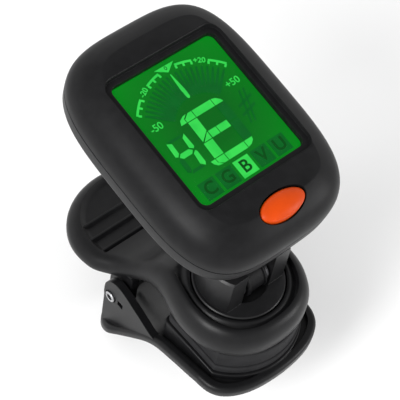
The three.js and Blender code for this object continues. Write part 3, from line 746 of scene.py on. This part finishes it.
def thumb_recess():
    """A cutter for the D-shaped recess under the thumb, with a sloping wall and three ribs on its floor."""
    wall = through([
        (THUMB_RADIUS - THUMB_WALL, -THUMB_DEPTH),
        (THUMB_RADIUS - THUMB_WALL * 0.75, -THUMB_DEPTH * 0.9),
        (THUMB_RADIUS - THUMB_WALL * 0.2, -THUMB_DEPTH * 0.2),
        (THUMB_RADIUS, 0.2),
    ], 5)
    profile = [(0, -THUMB_DEPTH), *[(p.x, p.y) for p in wall], (THUMB_RADIUS, 4), (0, 4)]
    recess = turned("recess", profile, 160)
    cut(recess, block("front", -20, 20, -20, THUMB_FRONT - LEVER_CENTRE, -5, 5))
    for y in THUMB_RIBS:
        middle = y - LEVER_CENTRE
        section = [
            (middle - 0.6, -THUMB_DEPTH - 0.2), (middle + 0.5, -THUMB_DEPTH - 0.2),
            (middle + 0.5, -RIB_DROP), (middle, -RIB_DROP),
        ]
        cut(recess, side_prism("rib", section, -20, 20))
    return on_lever(recess)


def lower_outline(steps):
    points = [
        (0, LOWER_FRONT), (5, LOWER_FRONT + 0.3), (9, LOWER_FRONT + 1.1), (12.4, LOWER_FRONT + 2.6),
        (14.6, LOWER_FRONT + 4.4), (15.8, LOWER_FRONT + 6.5), (16.3, LOWER_FRONT + 9),
        (LOWER_HALF_WIDTH, 0), (LOWER_HALF_WIDTH, 7), (LOWER_HALF_WIDTH + 0.3, 12),
    ]
    points += round_end(TAB_HALF_WIDTH, TAB_CENTRE, TAB_END, (-16, 4, 24, 45, 68, 90))
    return half_outline(points, steps)


def ear_outline():
    """One ear's outline as (y, z), from its foot at the rear over its round top to its front end."""
    top = through([(24.1, -12), (24.3, -9.9), (23.9, -6.4), (22.5, -4.4), (20.2, -3.4), (17.6, -3.8)], 8)
    front = [(12.4, -6.0), (8.2, -8.0), (4.6, lower_bottom(4.6) + 1.2)]
    foot = [(y, lower_bottom(y) + 0.6) for y in (8.6, 12.9, 18, 24.1)]
    return [Vector(p) for p in [*top, *front, *foot]]


def lower_jaw():
    outline = lower_outline(140)
    rim = lambda y: lower_bottom(y) + RIM_HEIGHT
    body = moulding("body", outline, lower_bottom, rim, RIM_FILLET, steps=8)
    inner = inset(outline, TRAY_WALL)
    cut(body, between("inside", inner, lambda y: lower_bottom(y) + TRAY_FLOOR, lambda y: 20))
    pedestal = prism("pedestal", pad_outline(0.8), -9.5, PAD_SEAT, edge=0.3)
    cut(pedestal, between("under", outline, lambda y: -40, lower_bottom))
    ears, slots = [], []
    slot_y, slot_z = EAR_SLOT
    for x0, x1 in both_sides(EAR):
        ears.append(side_prism("ear", ear_outline(), x0, x1))
        y0, y1 = (PIN_Y + y for y in slot_y)
        slots.append(block("slot", x0 - 1, x1 + 1, y0, y1, *(PIN_Z + z for z in slot_z)))
    join(body, pedestal, *ears)
    return cut(body, *pin_holes(EAR), *slots)


def pad_outline(outwards):
    """The pads' outline: a round front, straight sides and two rear corners."""
    radius = PAD_FRONT_RADIUS + outwards
    side = PAD_HALF_WIDTH + outwards
    rear = PAD_REAR + outwards
    across = math.degrees(math.asin(side / radius))
    return [
        *arc(radius, -90 - across, -90 + across, 72),
        *arc(PAD_CORNER, 0, 90, 10, (side - PAD_CORNER, rear - PAD_CORNER)),
        *arc(PAD_CORNER, 90, 180, 10, (PAD_CORNER - side, rear - PAD_CORNER)),
    ]


def upper_pad():
    body = prism("pad", pad_outline(0), 0, PAD_THICKNESS, edge=PAD_RIM)
    plug = column("plug", PAD_PLUG_RADIUS, PAD_THICKNESS - 0.5, RING_PLATE[0] - GAP)
    cut(plug, block("trim", -14, 14, PAD_REAR, 20, 0, 10))
    return cut(join(body, plug), column("hollow", PAD_HOLLOW_RADIUS, 3.6, RING_PLATE[0] + 1))


def lower_pad():
    return prism("pad", pad_outline(0.3), PAD_SEAT + GAP, -GAP, edge=PAD_RIM)


def hinge_pin():
    """A rolled steel pin with its slit to the rear."""
    pin = bar("pin", PIN_RADIUS, -PIN_HALF_LENGTH, PIN_HALF_LENGTH, PIN_Y, PIN_Z, sides=48, edge=0.15)
    bore = bar("bore", PIN_BORE, -20, 20, PIN_Y, PIN_Z, sides=48)
    slit = block("slit", -20, 20, PIN_Y, PIN_Y + 2, PIN_Z - 0.12, PIN_Z + 0.12)
    return cut(pin, bore, slit)


def tube(name, path, radius, sides=12):
    """A round wire along a path, closed at both ends."""
    vertices = []
    side = Vector((0, 0, 1)).cross(path[1] - path[0])
    side.normalize()
    for i, p in enumerate(path):
        along = (path[min(i + 1, len(path) - 1)] - path[max(i - 1, 0)]).normalized()
        side = (side - along * side.dot(along)).normalized()
        other = along.cross(side)
        for k in range(sides):
            angle = TAU * k / sides
            vertices.append(p + radius * (math.cos(angle) * side + math.sin(angle) * other))
    return stacked(name, vertices, sides)


def torsion_spring():
    """The coil runs round the pin: one leg presses under the thumb lever, the other on the finger tab."""
    start, end = math.radians(-50), math.radians(20)
    sweep = TAU * COIL_TURNS - (end - start)
    steps = 20 * COIL_TURNS
    coil = []
    for i in range(steps + 1):
        angle = start - sweep * i / steps
        x = lerp(-COIL_HALF_WIDTH, COIL_HALF_WIDTH, i / steps)
        coil.append((x, PIN_Y + COIL_RADIUS * math.cos(angle), PIN_Z + COIL_RADIUS * math.sin(angle)))
    lower_leg = [(-COIL_HALF_WIDTH, y, z) for y, z in ((26.2, -24.4), (25.6, -20), (25, -15.6))]
    upper_leg = [(COIL_HALF_WIDTH, y, z) for y, z in ((25.4, -6.6), (30, -5.3), (38, -6.4))]
    return tube("spring", through(lower_leg + coil + upper_leg, 3), WIRE_RADIUS)


# ---------------------------------------------------------------- swivel and tilt
def swivel_disc():
    low = DISC_TOP - DISC_THICKNESS
    body = column("disc", DISC_RADIUS, low, DISC_TOP, sides=128, edge=0.25)
    boss = column("boss", BOSS_RADIUS, RING_PLATE[0] - GAP, low + 0.2)
    yoke = column("yoke", CHEEK_RADIUS, DISC_TOP - 0.2, DISC_TOP + CHEEK_HEIGHT, sides=128, edge=0.5)
    cut(
        yoke,
        block("gap", -CHEEK_INNER, CHEEK_INNER, -20, 20, 0, 40),
        block("front", -20, 20, -20, CHEEK_FRONT, 0, 40),
        block("rear", -20, 20, CHEEK_REAR, 20, 0, 40),
    )
    join(body, boss, yoke)
    floor_low = DISC_TOP - RECESS_DEPTH
    lane = block("lane", -CHEEK_INNER, CHEEK_INNER, -RECESS_RADIUS, RECESS_RADIUS, floor_low, DISC_TOP + 1)
    recess = column("recess", RECESS_RADIUS, floor_low - 1, DISC_TOP + 2, sides=96)
    return cut(
        body,
        meet(lane, recess),
        column("screw_hole", DISC_HOLE_RADIUS, 5, floor_low - 0.6),
        bar("cross_hole", TILT_HOLE_RADIUS, -CHEEK_INNER - 2.6, 12, TILT_Y, TILT_Z),
        bar("head_seat", TILT_HEAD_SEAT_RADIUS, CHEEK_INNER + 3, 12, TILT_Y, TILT_Z),
        bar("nut_seat", NUT_SEAT_RADIUS, -CHEEK_INNER - 2.3, 0, TILT_Y, TILT_Z, sides=6),
    )


def tilt_screw():
    axis = (TILT_Y, TILT_Z)
    head = bar("head", TILT_HEAD_RADIUS, CHEEK_INNER + 3.3, CHEEK_INNER + 4.7, *axis, sides=48, edge=0.25)
    shank = bar("shank", TILT_SHANK_RADIUS, -CHEEK_INNER - 2.2, CHEEK_INNER + 3.4, *axis, sides=32)
    join(head, shank)
    drive = block("drive", CHEEK_INNER + 4.1, 20, TILT_Y - 0.3, TILT_Y + 0.3, TILT_Z - 3, TILT_Z + 3)
    return cut(head, drive)


def neck():
    """A foot under the head, an arm and a barrel that turns between the cheeks."""
    y, z = BARREL_IN_HEAD
    plate = rounded_rectangle(FOOT_WIDTH, FOOT_LENGTH, FOOT_CORNER, (0, FOOT_Y))
    body = prism("foot", plate, BACK - GAP - FOOT_THICKNESS, BACK - GAP, edge=0.3)
    arm = side_prism("arm", [
        (y - 0.6, z + 2), (y + 3.6, z + 1), (y + 4.6, z + 9),
        (y + 10.5, BACK - GAP - 2.2), (y - 0.6, BACK - GAP - 2.2),
    ], -BARREL_HALF_WIDTH, BARREL_HALF_WIDTH)
    barrel = bar("barrel", BARREL_RADIUS, -BARREL_HALF_WIDTH, BARREL_HALF_WIDTH, y, z, sides=96, edge=0.3)
    side = BARREL_HALF_WIDTH - GROOVE_RIM
    groove = bar("groove", BARREL_RADIUS + 1, -side, side, y, z, sides=96)
    cut(barrel, cut(groove, bar("core", BARREL_RADIUS - GROOVE_DEPTH, -5, 5, y, z, sides=96)))
    join(body, arm, barrel)
    holes = [column("hole", SCREW_HOLE_RADIUS, BACK - 2.2, BACK + 2, *at) for at in NECK_SCREW_PLACES]
    return cut(body, bar("bore", BARREL_BORE, -10, 10, y, z), *holes)


# ---------------------------------------------------------------- display head
def head_outline(steps):
    half = []
    for i in range(steps + 1):
        angle = -math.pi / 2 + math.pi * i / steps
        c, s = math.cos(angle), math.sin(angle)
        x = HEAD_HALF_WIDTH * abs(c) ** (2 / HEAD_POWER)
        y = HEAD_CENTRE + math.copysign(HEAD_HALF_HEIGHT * abs(s) ** (2 / HEAD_POWER), s)
        half.append(Vector((x, y)))
    return ends_on_axis(evenly(ends_on_axis(half), steps))


def head_stack(name, profile, smooth=1, steps=110):
    """A solid of the head's outline from (inset, level) pairs, rounded where smooth is more than 1."""
    outline = head_outline(steps)
    if smooth > 1:
        profile = [(p.x, p.y) for p in through(profile, smooth)]
    return lofted(name, [loop(inset(outline, inward), lambda y, z=z: z) for inward, z in profile])


def front_bezel():
    shell = head_stack("shell", [
        (0, SPLIT + GAP / 2), (0.1, -6), (0.5, -4.4), (1.2, -2.9), (2.3, -1.5), (3.8, -0.3), (5.3, 0.6),
        (6.5, CREST),
    ], smooth=4)
    inside = head_stack("inside", [
        (HEAD_WALL, SPLIT - 1), (HEAD_WALL, -6), (3.6, -3.4), (6.2, -1.4),
    ])
    cut(shell, inside)
    bosses = [column("boss", SCREW_BOSS_RADIUS, SPLIT + GAP / 2, -2.6, *at, 32) for at in SCREW_PLACES]
    join(shell, *bosses)
    width, height, radius = SCREEN
    opening = prism("opening", rounded_rectangle(width, height, radius), -4, 4)
    button_hole = prism("button_hole", button_oval(BUTTON_WIDTH + 2 * GAP, BUTTON_HEIGHT + 2 * GAP), -4, 4)
    holes = [column("hole", SCREW_HOLE_RADIUS, SPLIT - 1, -3.2, *at, 24) for at in SCREW_PLACES]
    return cut(shell, opening, screen_recess(), button_hole, *holes)


def screen_recess():
    """The steep-walled recess round the display, its upper edge eased, as a cutter."""
    width, height, _ = SCREEN
    ledge, corner = SCREEN_LEDGE
    foot = rounded_rectangle(width + 2 * ledge, height + 2 * ledge, corner)
    rings = [(0, 0), (0.12, CREST - 0.25), (0.2, CREST - 0.1), (0.35, CREST), (1.2, CREST + 2)]
    vertices = []
    for outwards, z in rings:
        vertices += [(p.x, p.y, z) for p in grown(foot, outwards)]
    return stacked("recess", vertices, len(foot))


def cover_blank():
    return head_stack("cover", [
        (3.2, BACK), (2.4, BACK + 0.12), (1.8, BACK + 0.4), (1.2, BACK + 0.85), (0.7, BACK + 1.4),
        (0.35, BACK + 2.1), (0.1, BACK + 3), (0, SPLIT - GAP / 2),
    ])


def door_slot(clearance):
    """The slot that the battery door slides in, T-shaped in section and open at the head's top edge."""
    reach = DOOR_HALF_WIDTH + clearance
    low = DOOR_BOTTOM - clearance
    wide = reach + DOOR_TONGUE
    slot = block("channel", -reach, reach, low, 40, BACK - 2, BACK + 1.6 + clearance)
    return join(slot, block("tongues", -wide, wide, low, 40, BACK + 0.9 - clearance, BACK + 1.6 + clearance))


def rear_cover():
    """The rear shell. A tongue inside its rim reaches up to the bezel, so no light shows through the seam."""
    tongue = head_stack("tongue", [(0.5, SPLIT - 1), (0.5, SPLIT + GAP / 2 - 0.02)])
    inside = head_stack("inside", [(HEAD_WALL, BACK + 2.8), (HEAD_WALL, SPLIT + 1)])
    cutters = [column("cell_hole", CELL_RADIUS + 0.6, BACK - 1, BACK + 4, 0, CELL_Y, 96)]
    for at in SCREW_PLACES:
        cutters.append(column("hole", SCREW_HOLE_RADIUS, BACK - 1, BACK + 8, *at, 32))
        cutters.append(column("seat", SCREW_BOSS_RADIUS, BACK - 1, BACK + 1.5, *at, 48))
    for at in NECK_SCREW_PLACES:
        cutters.append(column("neck_hole", NECK_HOLE_RADIUS, BACK - 1, BACK + 4, *at, 32))
    return cut(join(cover_blank(), tongue), inside, door_slot(GAP), *cutters)


def battery_door():
    """The door, with a row of finger ridges cut across its lower part."""
    door = meet(door_slot(0), cover_blank())
    ridges = [block("ridge", -6, 6, y, y + 0.7, BACK - 1, BACK + 0.35) for y in (-4.6, -3.2, -1.8, -0.4, 1.0)]
    return cut(door, *ridges)


def power_button():
    """A low oval dome on a stem, with a flange inside the bezel."""
    outline = button_oval(BUTTON_WIDTH, BUTTON_HEIGHT)
    count = len(outline)
    rings, rise = 14, 1.6
    vertices = []
    for k in range(rings):
        angle = k / rings * math.pi / 2
        share = math.cos(angle)
        z = BUTTON_TOP - rise + rise * math.sin(angle)
        vertices += [(p.x * share, BUTTON_Y + (p.y - BUTTON_Y) * share, z) for p in outline]
    faces = [tuple(range(count))[::-1], *wall_faces(len(vertices), count)]
    base, tip = len(vertices) - count, len(vertices)
    vertices.append((0, BUTTON_Y, BUTTON_TOP))
    faces += [(base + i, base + (i + 1) % count, tip) for i in range(count)]
    dome = new_object("dome", vertices, faces)
    stem = prism("stem", outline, -2.5, BUTTON_TOP - 1.55)
    flange = prism("flange", button_oval(BUTTON_WIDTH + 2.2, BUTTON_HEIGHT - 2.6), -2.9, -2.4)
    return join(stem, dome, flange)


def case_screw(x, y):
    """A flat-headed screw with a cross recess in its head, which faces backwards."""
    low, radius, shank, rim = BACK + 0.2, 1.8, 0.85, 0.25
    screw = turned("screw", [
        (0, low), (radius - rim, low), (radius, low + rim), (radius, low + 1),
        (shank, low + 1), (shank, low + 8.6), (0, low + 8.6),
    ], 48)
    cut(
        screw,
        block("slot", -1.1, 1.1, -0.2, 0.2, low - 1, low + 0.5),
        block("slot", -0.2, 0.2, -1.1, 1.1, low - 1, low + 0.5),
    )
    screw.data.transform(Matrix.Translation((x, y, 0)))
    return screw


# ---------------------------------------------------------------- display artwork
ART = (LCD_FACE + 0.02, LCD_FACE + 0.10)  # where the artwork lies, just over the glass
SHADE = (ART[1] + 0.01, ART[1] + 0.06)  # dark marks, just over the artwork
DIAL_CENTRE, DIAL_RADIUS = -1.65, 15.35
NEEDLE_FOOT, NEEDLE_TIP = 7.3, 13.6  # radii on the dial
DIAL_NUMBER_ANGLE = 29
MODE_LETTERS = "CGBVU"
MODE_PITCH, MODE_WIDTH, MODE_HEIGHT, MODE_Y = 4.6, 3.9, 4.1, -12.55
LIT_MODE = 2


def shape_on_lcd(outline):
    return prism("art", [Vector(p) for p in outline], *ART)


def merged(shapes):
    """Several separate shapes as one object, without joining their solids."""
    vertices, faces = [], []
    for shape in shapes:
        start = len(vertices)
        vertices += [v.co.copy() for v in shape.data.vertices]
        faces += [tuple(start + i for i in p.vertices) for p in shape.data.polygons]
        bpy.data.objects.remove(shape)
    return new_object("merged", vertices, faces)


def lettering(text, size, x, y, turn=0.0, depth=ART, weight=0.0):
    """A word in plain letters as a mesh, centred at (x, y) on the display."""
    data = bpy.data.curves.new("text", "FONT")
    data.body = text
    data.size = size
    data.offset = weight
    data.align_x = "CENTER"
    data.align_y = "CENTER"
    data.extrude = (depth[1] - depth[0]) / 2
    made = add_object("text", data)
    mesh = evaluated_mesh(made)
    mesh.transform(Matrix.Translation((x, y, (depth[0] + depth[1]) / 2)) @ Matrix.Rotation(turn, 4, "Z"))
    bpy.data.objects.remove(made)
    return add_object("text", mesh)


def on_dial(radius, degrees):
    """A point of the dial, its angle counted clockwise from straight up."""
    angle = math.radians(degrees)
    return (radius * math.sin(angle), DIAL_CENTRE + radius * math.cos(angle))


def dial_band(inner, outer, start, end, steps=12):
    degrees = [lerp(start, end, i / steps) for i in range(steps + 1)]
    return [on_dial(outer, d) for d in reversed(degrees)] + [on_dial(inner, d) for d in degrees]


def needle(degrees, wide, narrow):
    """A pointer of the fan: broad and rounded at its foot, narrow at its tip."""
    stations = [(0, 0.25), (0.05, 0.7), (0.15, 1), (0.3, 1), (1, narrow / wide)]
    points = []
    for side in (1, -1):
        for share, width in stations if side > 0 else reversed(stations):
            radius = lerp(NEEDLE_FOOT, NEEDLE_TIP, share)
            offset = math.degrees(side * wide / 2 * width / radius)
            points.append(on_dial(radius, degrees + offset))
    return points



def oblong(x0, y0, x1, y1):
    return [(x0, y0), (x1, y0), (x1, y1), (x0, y1)]


# The bars of the big note letter and of the small string number, as polygons on the display.
NOTE_BARS = [
    [(-3.9, 1.45), (-1.7, 1.45), (-1.7, 3.1), (-2.6, 3.1), (-3.9, 2.2)],
    oblong(-1.5, 1.45, 3.3, 3.1),
    [(3.5, 1.45), (5.55, 1.45), (5.3, 2.05), (4.5, 2.8), (3.5, 3.1)],
    [(-5.5, 1.45), (-4.1, 1.45), (-4.1, 2.4), (-3.1, 3.1), (-3.9, 3.05), (-5.0, 2.5)],
    [(-4.0, -3.7), (-1.75, -2.0), (-1.65, 1.25), (-3.9, 1.25)],
    [(-3.75, -3.9), (-1.85, -3.9), (-1.85, -2.3)],
    [(-4.3, -7.8), (-2.0, -7.8), (-1.9, -4.1), (-4.15, -4.1)],
    oblong(-1.6, -3.9, 0.35, -2.3),
    oblong(0.55, -3.9, 3.25, -2.3),
    [(-4.1, -9.0), (-3.1, -9.6), (-2.1, -9.6), (-2.1, -8.0), (-4.2, -8.0)],
    oblong(-1.9, -9.6, 3.1, -8.0),
    [(3.3, -9.55), (4.3, -9.3), (5.1, -8.7), (5.35, -8.0), (3.3, -8.0)],
    [(-5.2, -8.8), (-4.6, -9.45), (-3.5, -9.65), (-4.3, -8.9), (-4.4, -8.0), (-5.5, -8.0)],
]
STRING_BARS = [
    [(-10.9, -3.4), (-10.4, -3.7), (-9.8, -3.1), (-9.7, -0.7), (-10.7, -0.2)],
    [(-7.2, -3.2), (-6.5, -3.75), (-6.1, -3.4), (-6.2, -0.1), (-7.0, -0.8)],
    [(-10.2, -3.95), (-9.6, -4.55), (-7.5, -4.55), (-6.9, -3.95), (-7.6, -3.35), (-9.6, -3.35)],
    [(-7.5, -7.1), (-6.7, -7.9), (-6.3, -7.3), (-6.25, -4.6), (-6.5, -4.2), (-7.2, -4.7)],
]
UNLIT_BARS = [
    oblong(3.5, -2.9, 5.7, 1.2),
    [(3.4, -7.8), (5.6, -7.8), (5.7, -3.2), (3.5, -3.2)],
    [(-10.9, -7.3), (-10.3, -7.8), (-9.8, -7.2), (-9.7, -4.8), (-10.4, -4.2), (-10.8, -4.6)],
    [(-10.2, -8.1), (-7.0, -8.1), (-7.6, -7.4), (-9.6, -7.4)],
    [(-9.6, -0.5), (-7.1, -0.5), (-6.5, 0.1), (-10.3, 0.1)],
    *([(x, -5.6), (x + 0.4, -5.6), (x + 2.9, 1.6), (x + 2.5, 1.6)] for x in (7.2, 8.3)),
    *([(x, y), (x + 4, y + 1), (x + 4, y + 1.6), (x, y + 0.6)] for x, y in ((6.9, -3.7), (7.5, -1.7))),
]


def dial_marks():
    """The lit part of the dial: two bands with ticks on each side, the pointer and its triangle."""
    marks = []
    for start, end in ((8, 22.5), (36, 51)):
        for sign in (-1, 1):
            low, high = sorted((sign * start, sign * end))
            marks.append(dial_band(DIAL_RADIUS - 0.5, DIAL_RADIUS, low, high))
            for share in (0.03, 0.5, 0.97):
                at = lerp(low, high, share)
                marks.append(dial_band(DIAL_RADIUS - 1.15, DIAL_RADIUS - 0.45, at - 0.9, at + 0.9, 1))
    marks.append([(0, 12.55), (2.45, 14.2), (-2.45, 14.2)])
    marks.append(needle(0, 0.95, 0.2))
    return marks


def mode_place(index):
    return (index - len(MODE_LETTERS) // 2) * MODE_PITCH


def mode_box(index):
    x = mode_place(index)
    half_width, half_height = MODE_WIDTH / 2, MODE_HEIGHT / 2
    return oblong(x - half_width, MODE_Y - half_height, x + half_width, MODE_Y + half_height)


def display_artwork():
    """A generic tuner display: dial, note letter, string number and mode boxes."""
    lit_outlines = [*dial_marks(), *NOTE_BARS, *STRING_BARS, mode_box(LIT_MODE)]
    lit_shapes = [shape_on_lcd(p) for p in lit_outlines]
    for sign, side in (("-", -1), ("+", 1)):
        x, y = on_dial(DIAL_RADIUS - 0.35, DIAL_NUMBER_ANGLE * side)
        turn = math.radians(-DIAL_NUMBER_ANGLE * side)
        lit_shapes.append(lettering(sign + "20", 1.7, x, y, turn, weight=0.03))
        lit_shapes.append(lettering(sign + "50", 2.25, 10.0 * side, 3.8, weight=0.02))
    faint_shapes = [shape_on_lcd(p) for p in UNLIT_BARS]
    faint_shapes += [shape_on_lcd(needle(5 * k, 0.8, 0.4)) for k in range(-10, 11) if k]
    faint_shapes += [shape_on_lcd(mode_box(k)) for k in range(len(MODE_LETTERS)) if k != LIT_MODE]
    dark_shapes = [lettering("0", 1.3, 0, 13.55, depth=SHADE)]
    for index, letter in enumerate(MODE_LETTERS):
        dark_shapes.append(lettering(letter, 3.9, mode_place(index), MODE_Y, depth=SHADE, weight=0.07))
    for name, shapes, material in (
        ("display_lit_marks", lit_shapes, LIT),
        ("display_faint_marks", faint_shapes, FAINT),
        ("display_dark_letters", dark_shapes, SHADOW),
    ):
        place(merged(shapes), name, material, "head", where=IN_HEAD, slot="lcd_green")


# ---------------------------------------------------------------- assembly
def build(where, *rows):
    """Makes each piece and puts it in place of its CAD node."""
    for make, name, material, body, node, slot in rows:
        place(make(), name, material, body, [node], where, slot=slot)


def build_clamp():
    build(
        IN_CLAMP,
        (upper_jaw, "upper_jaw_shell", JAW, "clamp", "upper_jaw", "jaw_plastic"),
        (upper_pad, "upper_pad_block", PAD, "clamp", "upper_pad", "pad_rubber"),
        (hinge_pin, "hinge_pin_roll", STEEL, "clamp", "hinge_pin", "bright_steel"),
        (lower_jaw, "lower_jaw_shell", JAW, "lower_clamp", "lower_jaw", "jaw_plastic"),
        (lower_pad, "lower_pad_sheet", PAD, "lower_clamp", "lower_pad", "pad_rubber"),
    )
    spring = torsion_spring()
    place(
        spring, "torsion_spring_wire", SPRING_STEEL, None, ["torsion_spring"], smooth=60, slot="spring_steel"
    )
    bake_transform(spring)


def build_swivel():
    build(
        IN_CLAMP,
        (swivel_disc, "swivel_disc_yoke", SWIVEL, "swivel", "swivel_disc", "swivel_plastic"),
        (tilt_screw, "tilt_screw_head", DARK_SCREW, "swivel", "tilt_screw", "dark_screw"),
    )


def build_head():
    build(
        IN_HEAD,
        (neck, "neck_arm", NECK, "head", "neck", "swivel_plastic"),
        (front_bezel, "front_bezel_shell", CASE, "head", "front_bezel", "case_plastic"),
        (rear_cover, "rear_cover_shell", CASE, "head", "rear_cover", "case_plastic"),
        (battery_door, "battery_door_panel", CASE, "door", "battery_door", "case_plastic"),
        (power_button, "power_button_cap", ORANGE, "button", "power_button", "orange_plastic"),
    )
    for i, at in enumerate(SCREW_PLACES, 1):
        node = f"case_screw_{i}"
        place(case_screw(*at), f"{node}_head", DARK_SCREW, "head", [node], IN_HEAD, slot="dark_screw")


CARRIED_OVER = [
    (WHITE, ["swivel_washer", "backlight_panel", "switch_plunger"]),
    (STEEL, ["swivel_screw", "tilt_nut", "timing_crystal", "coin_cell", "neck_screw_1", "neck_screw_2"]),
    (SPRING_STEEL, ["swivel_spring_washer", "friction_washer_left", "friction_washer_right"]),
    (BRASS, ["vibration_sensor", "positive_contact", "negative_contact"]),
    (CHIP, ["controller_chip", "tact_switch"]),
    (WINDOW, ["display_window"]),
    (BACKLIT, ["lcd_glass"]),
    (ZEBRA, ["contact_strip"]),
    (CIRCUIT, ["circuit_board"]),
]


def dress_carried_over():
    for material, nodes in CARRIED_OVER:
        for node in nodes:
            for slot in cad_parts[node].material_slots:
                slot.link = "OBJECT"
                slot.material = material


# ---------------------------------------------------------------- stage
def camera():
    data = bpy.data.cameras.new("camera")
    data.lens = LENS
    data.sensor_width = SENSOR
    data.clip_end = 5
    made = add_object("camera", data)
    right = Vector(CAMERA_RIGHT).normalized()
    back = Vector(CAMERA_BACK)
    back = (back - right * back.dot(right)).normalized()
    up = back.cross(right)
    turn = Matrix((right, up, back)).transposed().to_4x4()
    made.matrix_world = Matrix.Translation(Vector(CAMERA_PLACE) * MM) @ turn
    bpy.context.scene.camera = made


def softbox(name, position, power):
    """A tall soft light aimed at the middle of the object."""
    data = bpy.data.lights.new(name, "AREA")
    data.shape = "RECTANGLE"
    data.size, data.size_y = (side * MM for side in SOFTBOX)
    data.energy = power
    made = add_object(name, data)
    made.location = Vector(position) * MM
    aim = (Vector(BENCH_MIDDLE) - Vector(position)).to_track_quat("-Z", "Y")
    made.rotation_euler = aim.to_euler()


def floor():
    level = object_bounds()[0][2] - 0.4 * MM
    reach = 3.0
    corners = [(-1, -1), (1, -1), (1, 1), (-1, 1)]
    made = new_object("floor", [(x * reach, y * reach, level) for x, y in corners], [(0, 1, 2, 3)])
    material, tree, bsdf = shader("pale_floor")
    cloudy = noise(tree, place_texture(tree), 0.02, 2)
    feed(tree, bsdf, {"Base Color": two_tones(tree, cloudy, [0.86] * 3, [0.88] * 3), "Roughness": 0.9})
    made.data.materials.append(material)
    made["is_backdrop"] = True


def surroundings():
    """A white room, brighter near the horizon than overhead."""
    world = bpy.data.worlds.new("studio")
    world.use_nodes = True
    tree = world.node_tree
    spot = added(tree, "ShaderNodeTexCoord", "Generated", {})
    height = added(tree, "ShaderNodeSeparateXYZ", "Z", {"Vector": spot})
    strength = spread(tree, height, 1.5, 0.45, start=0.1, end=0.95)
    feed(tree, tree.nodes["Background"], {"Color": (1, 1, 1, 1), "Strength": strength})
    bpy.context.scene.world = world


def studio():
    surroundings()
    bpy.context.scene.view_settings.view_transform = "Standard"
    softbox("key", (-330, -30, 260), 1.6)
    softbox("side", (250, -300, 130), 0.7)
    floor()
    camera()


build_clamp()
build_swivel()
build_head()
display_artwork()
dress_carried_over()
studio()
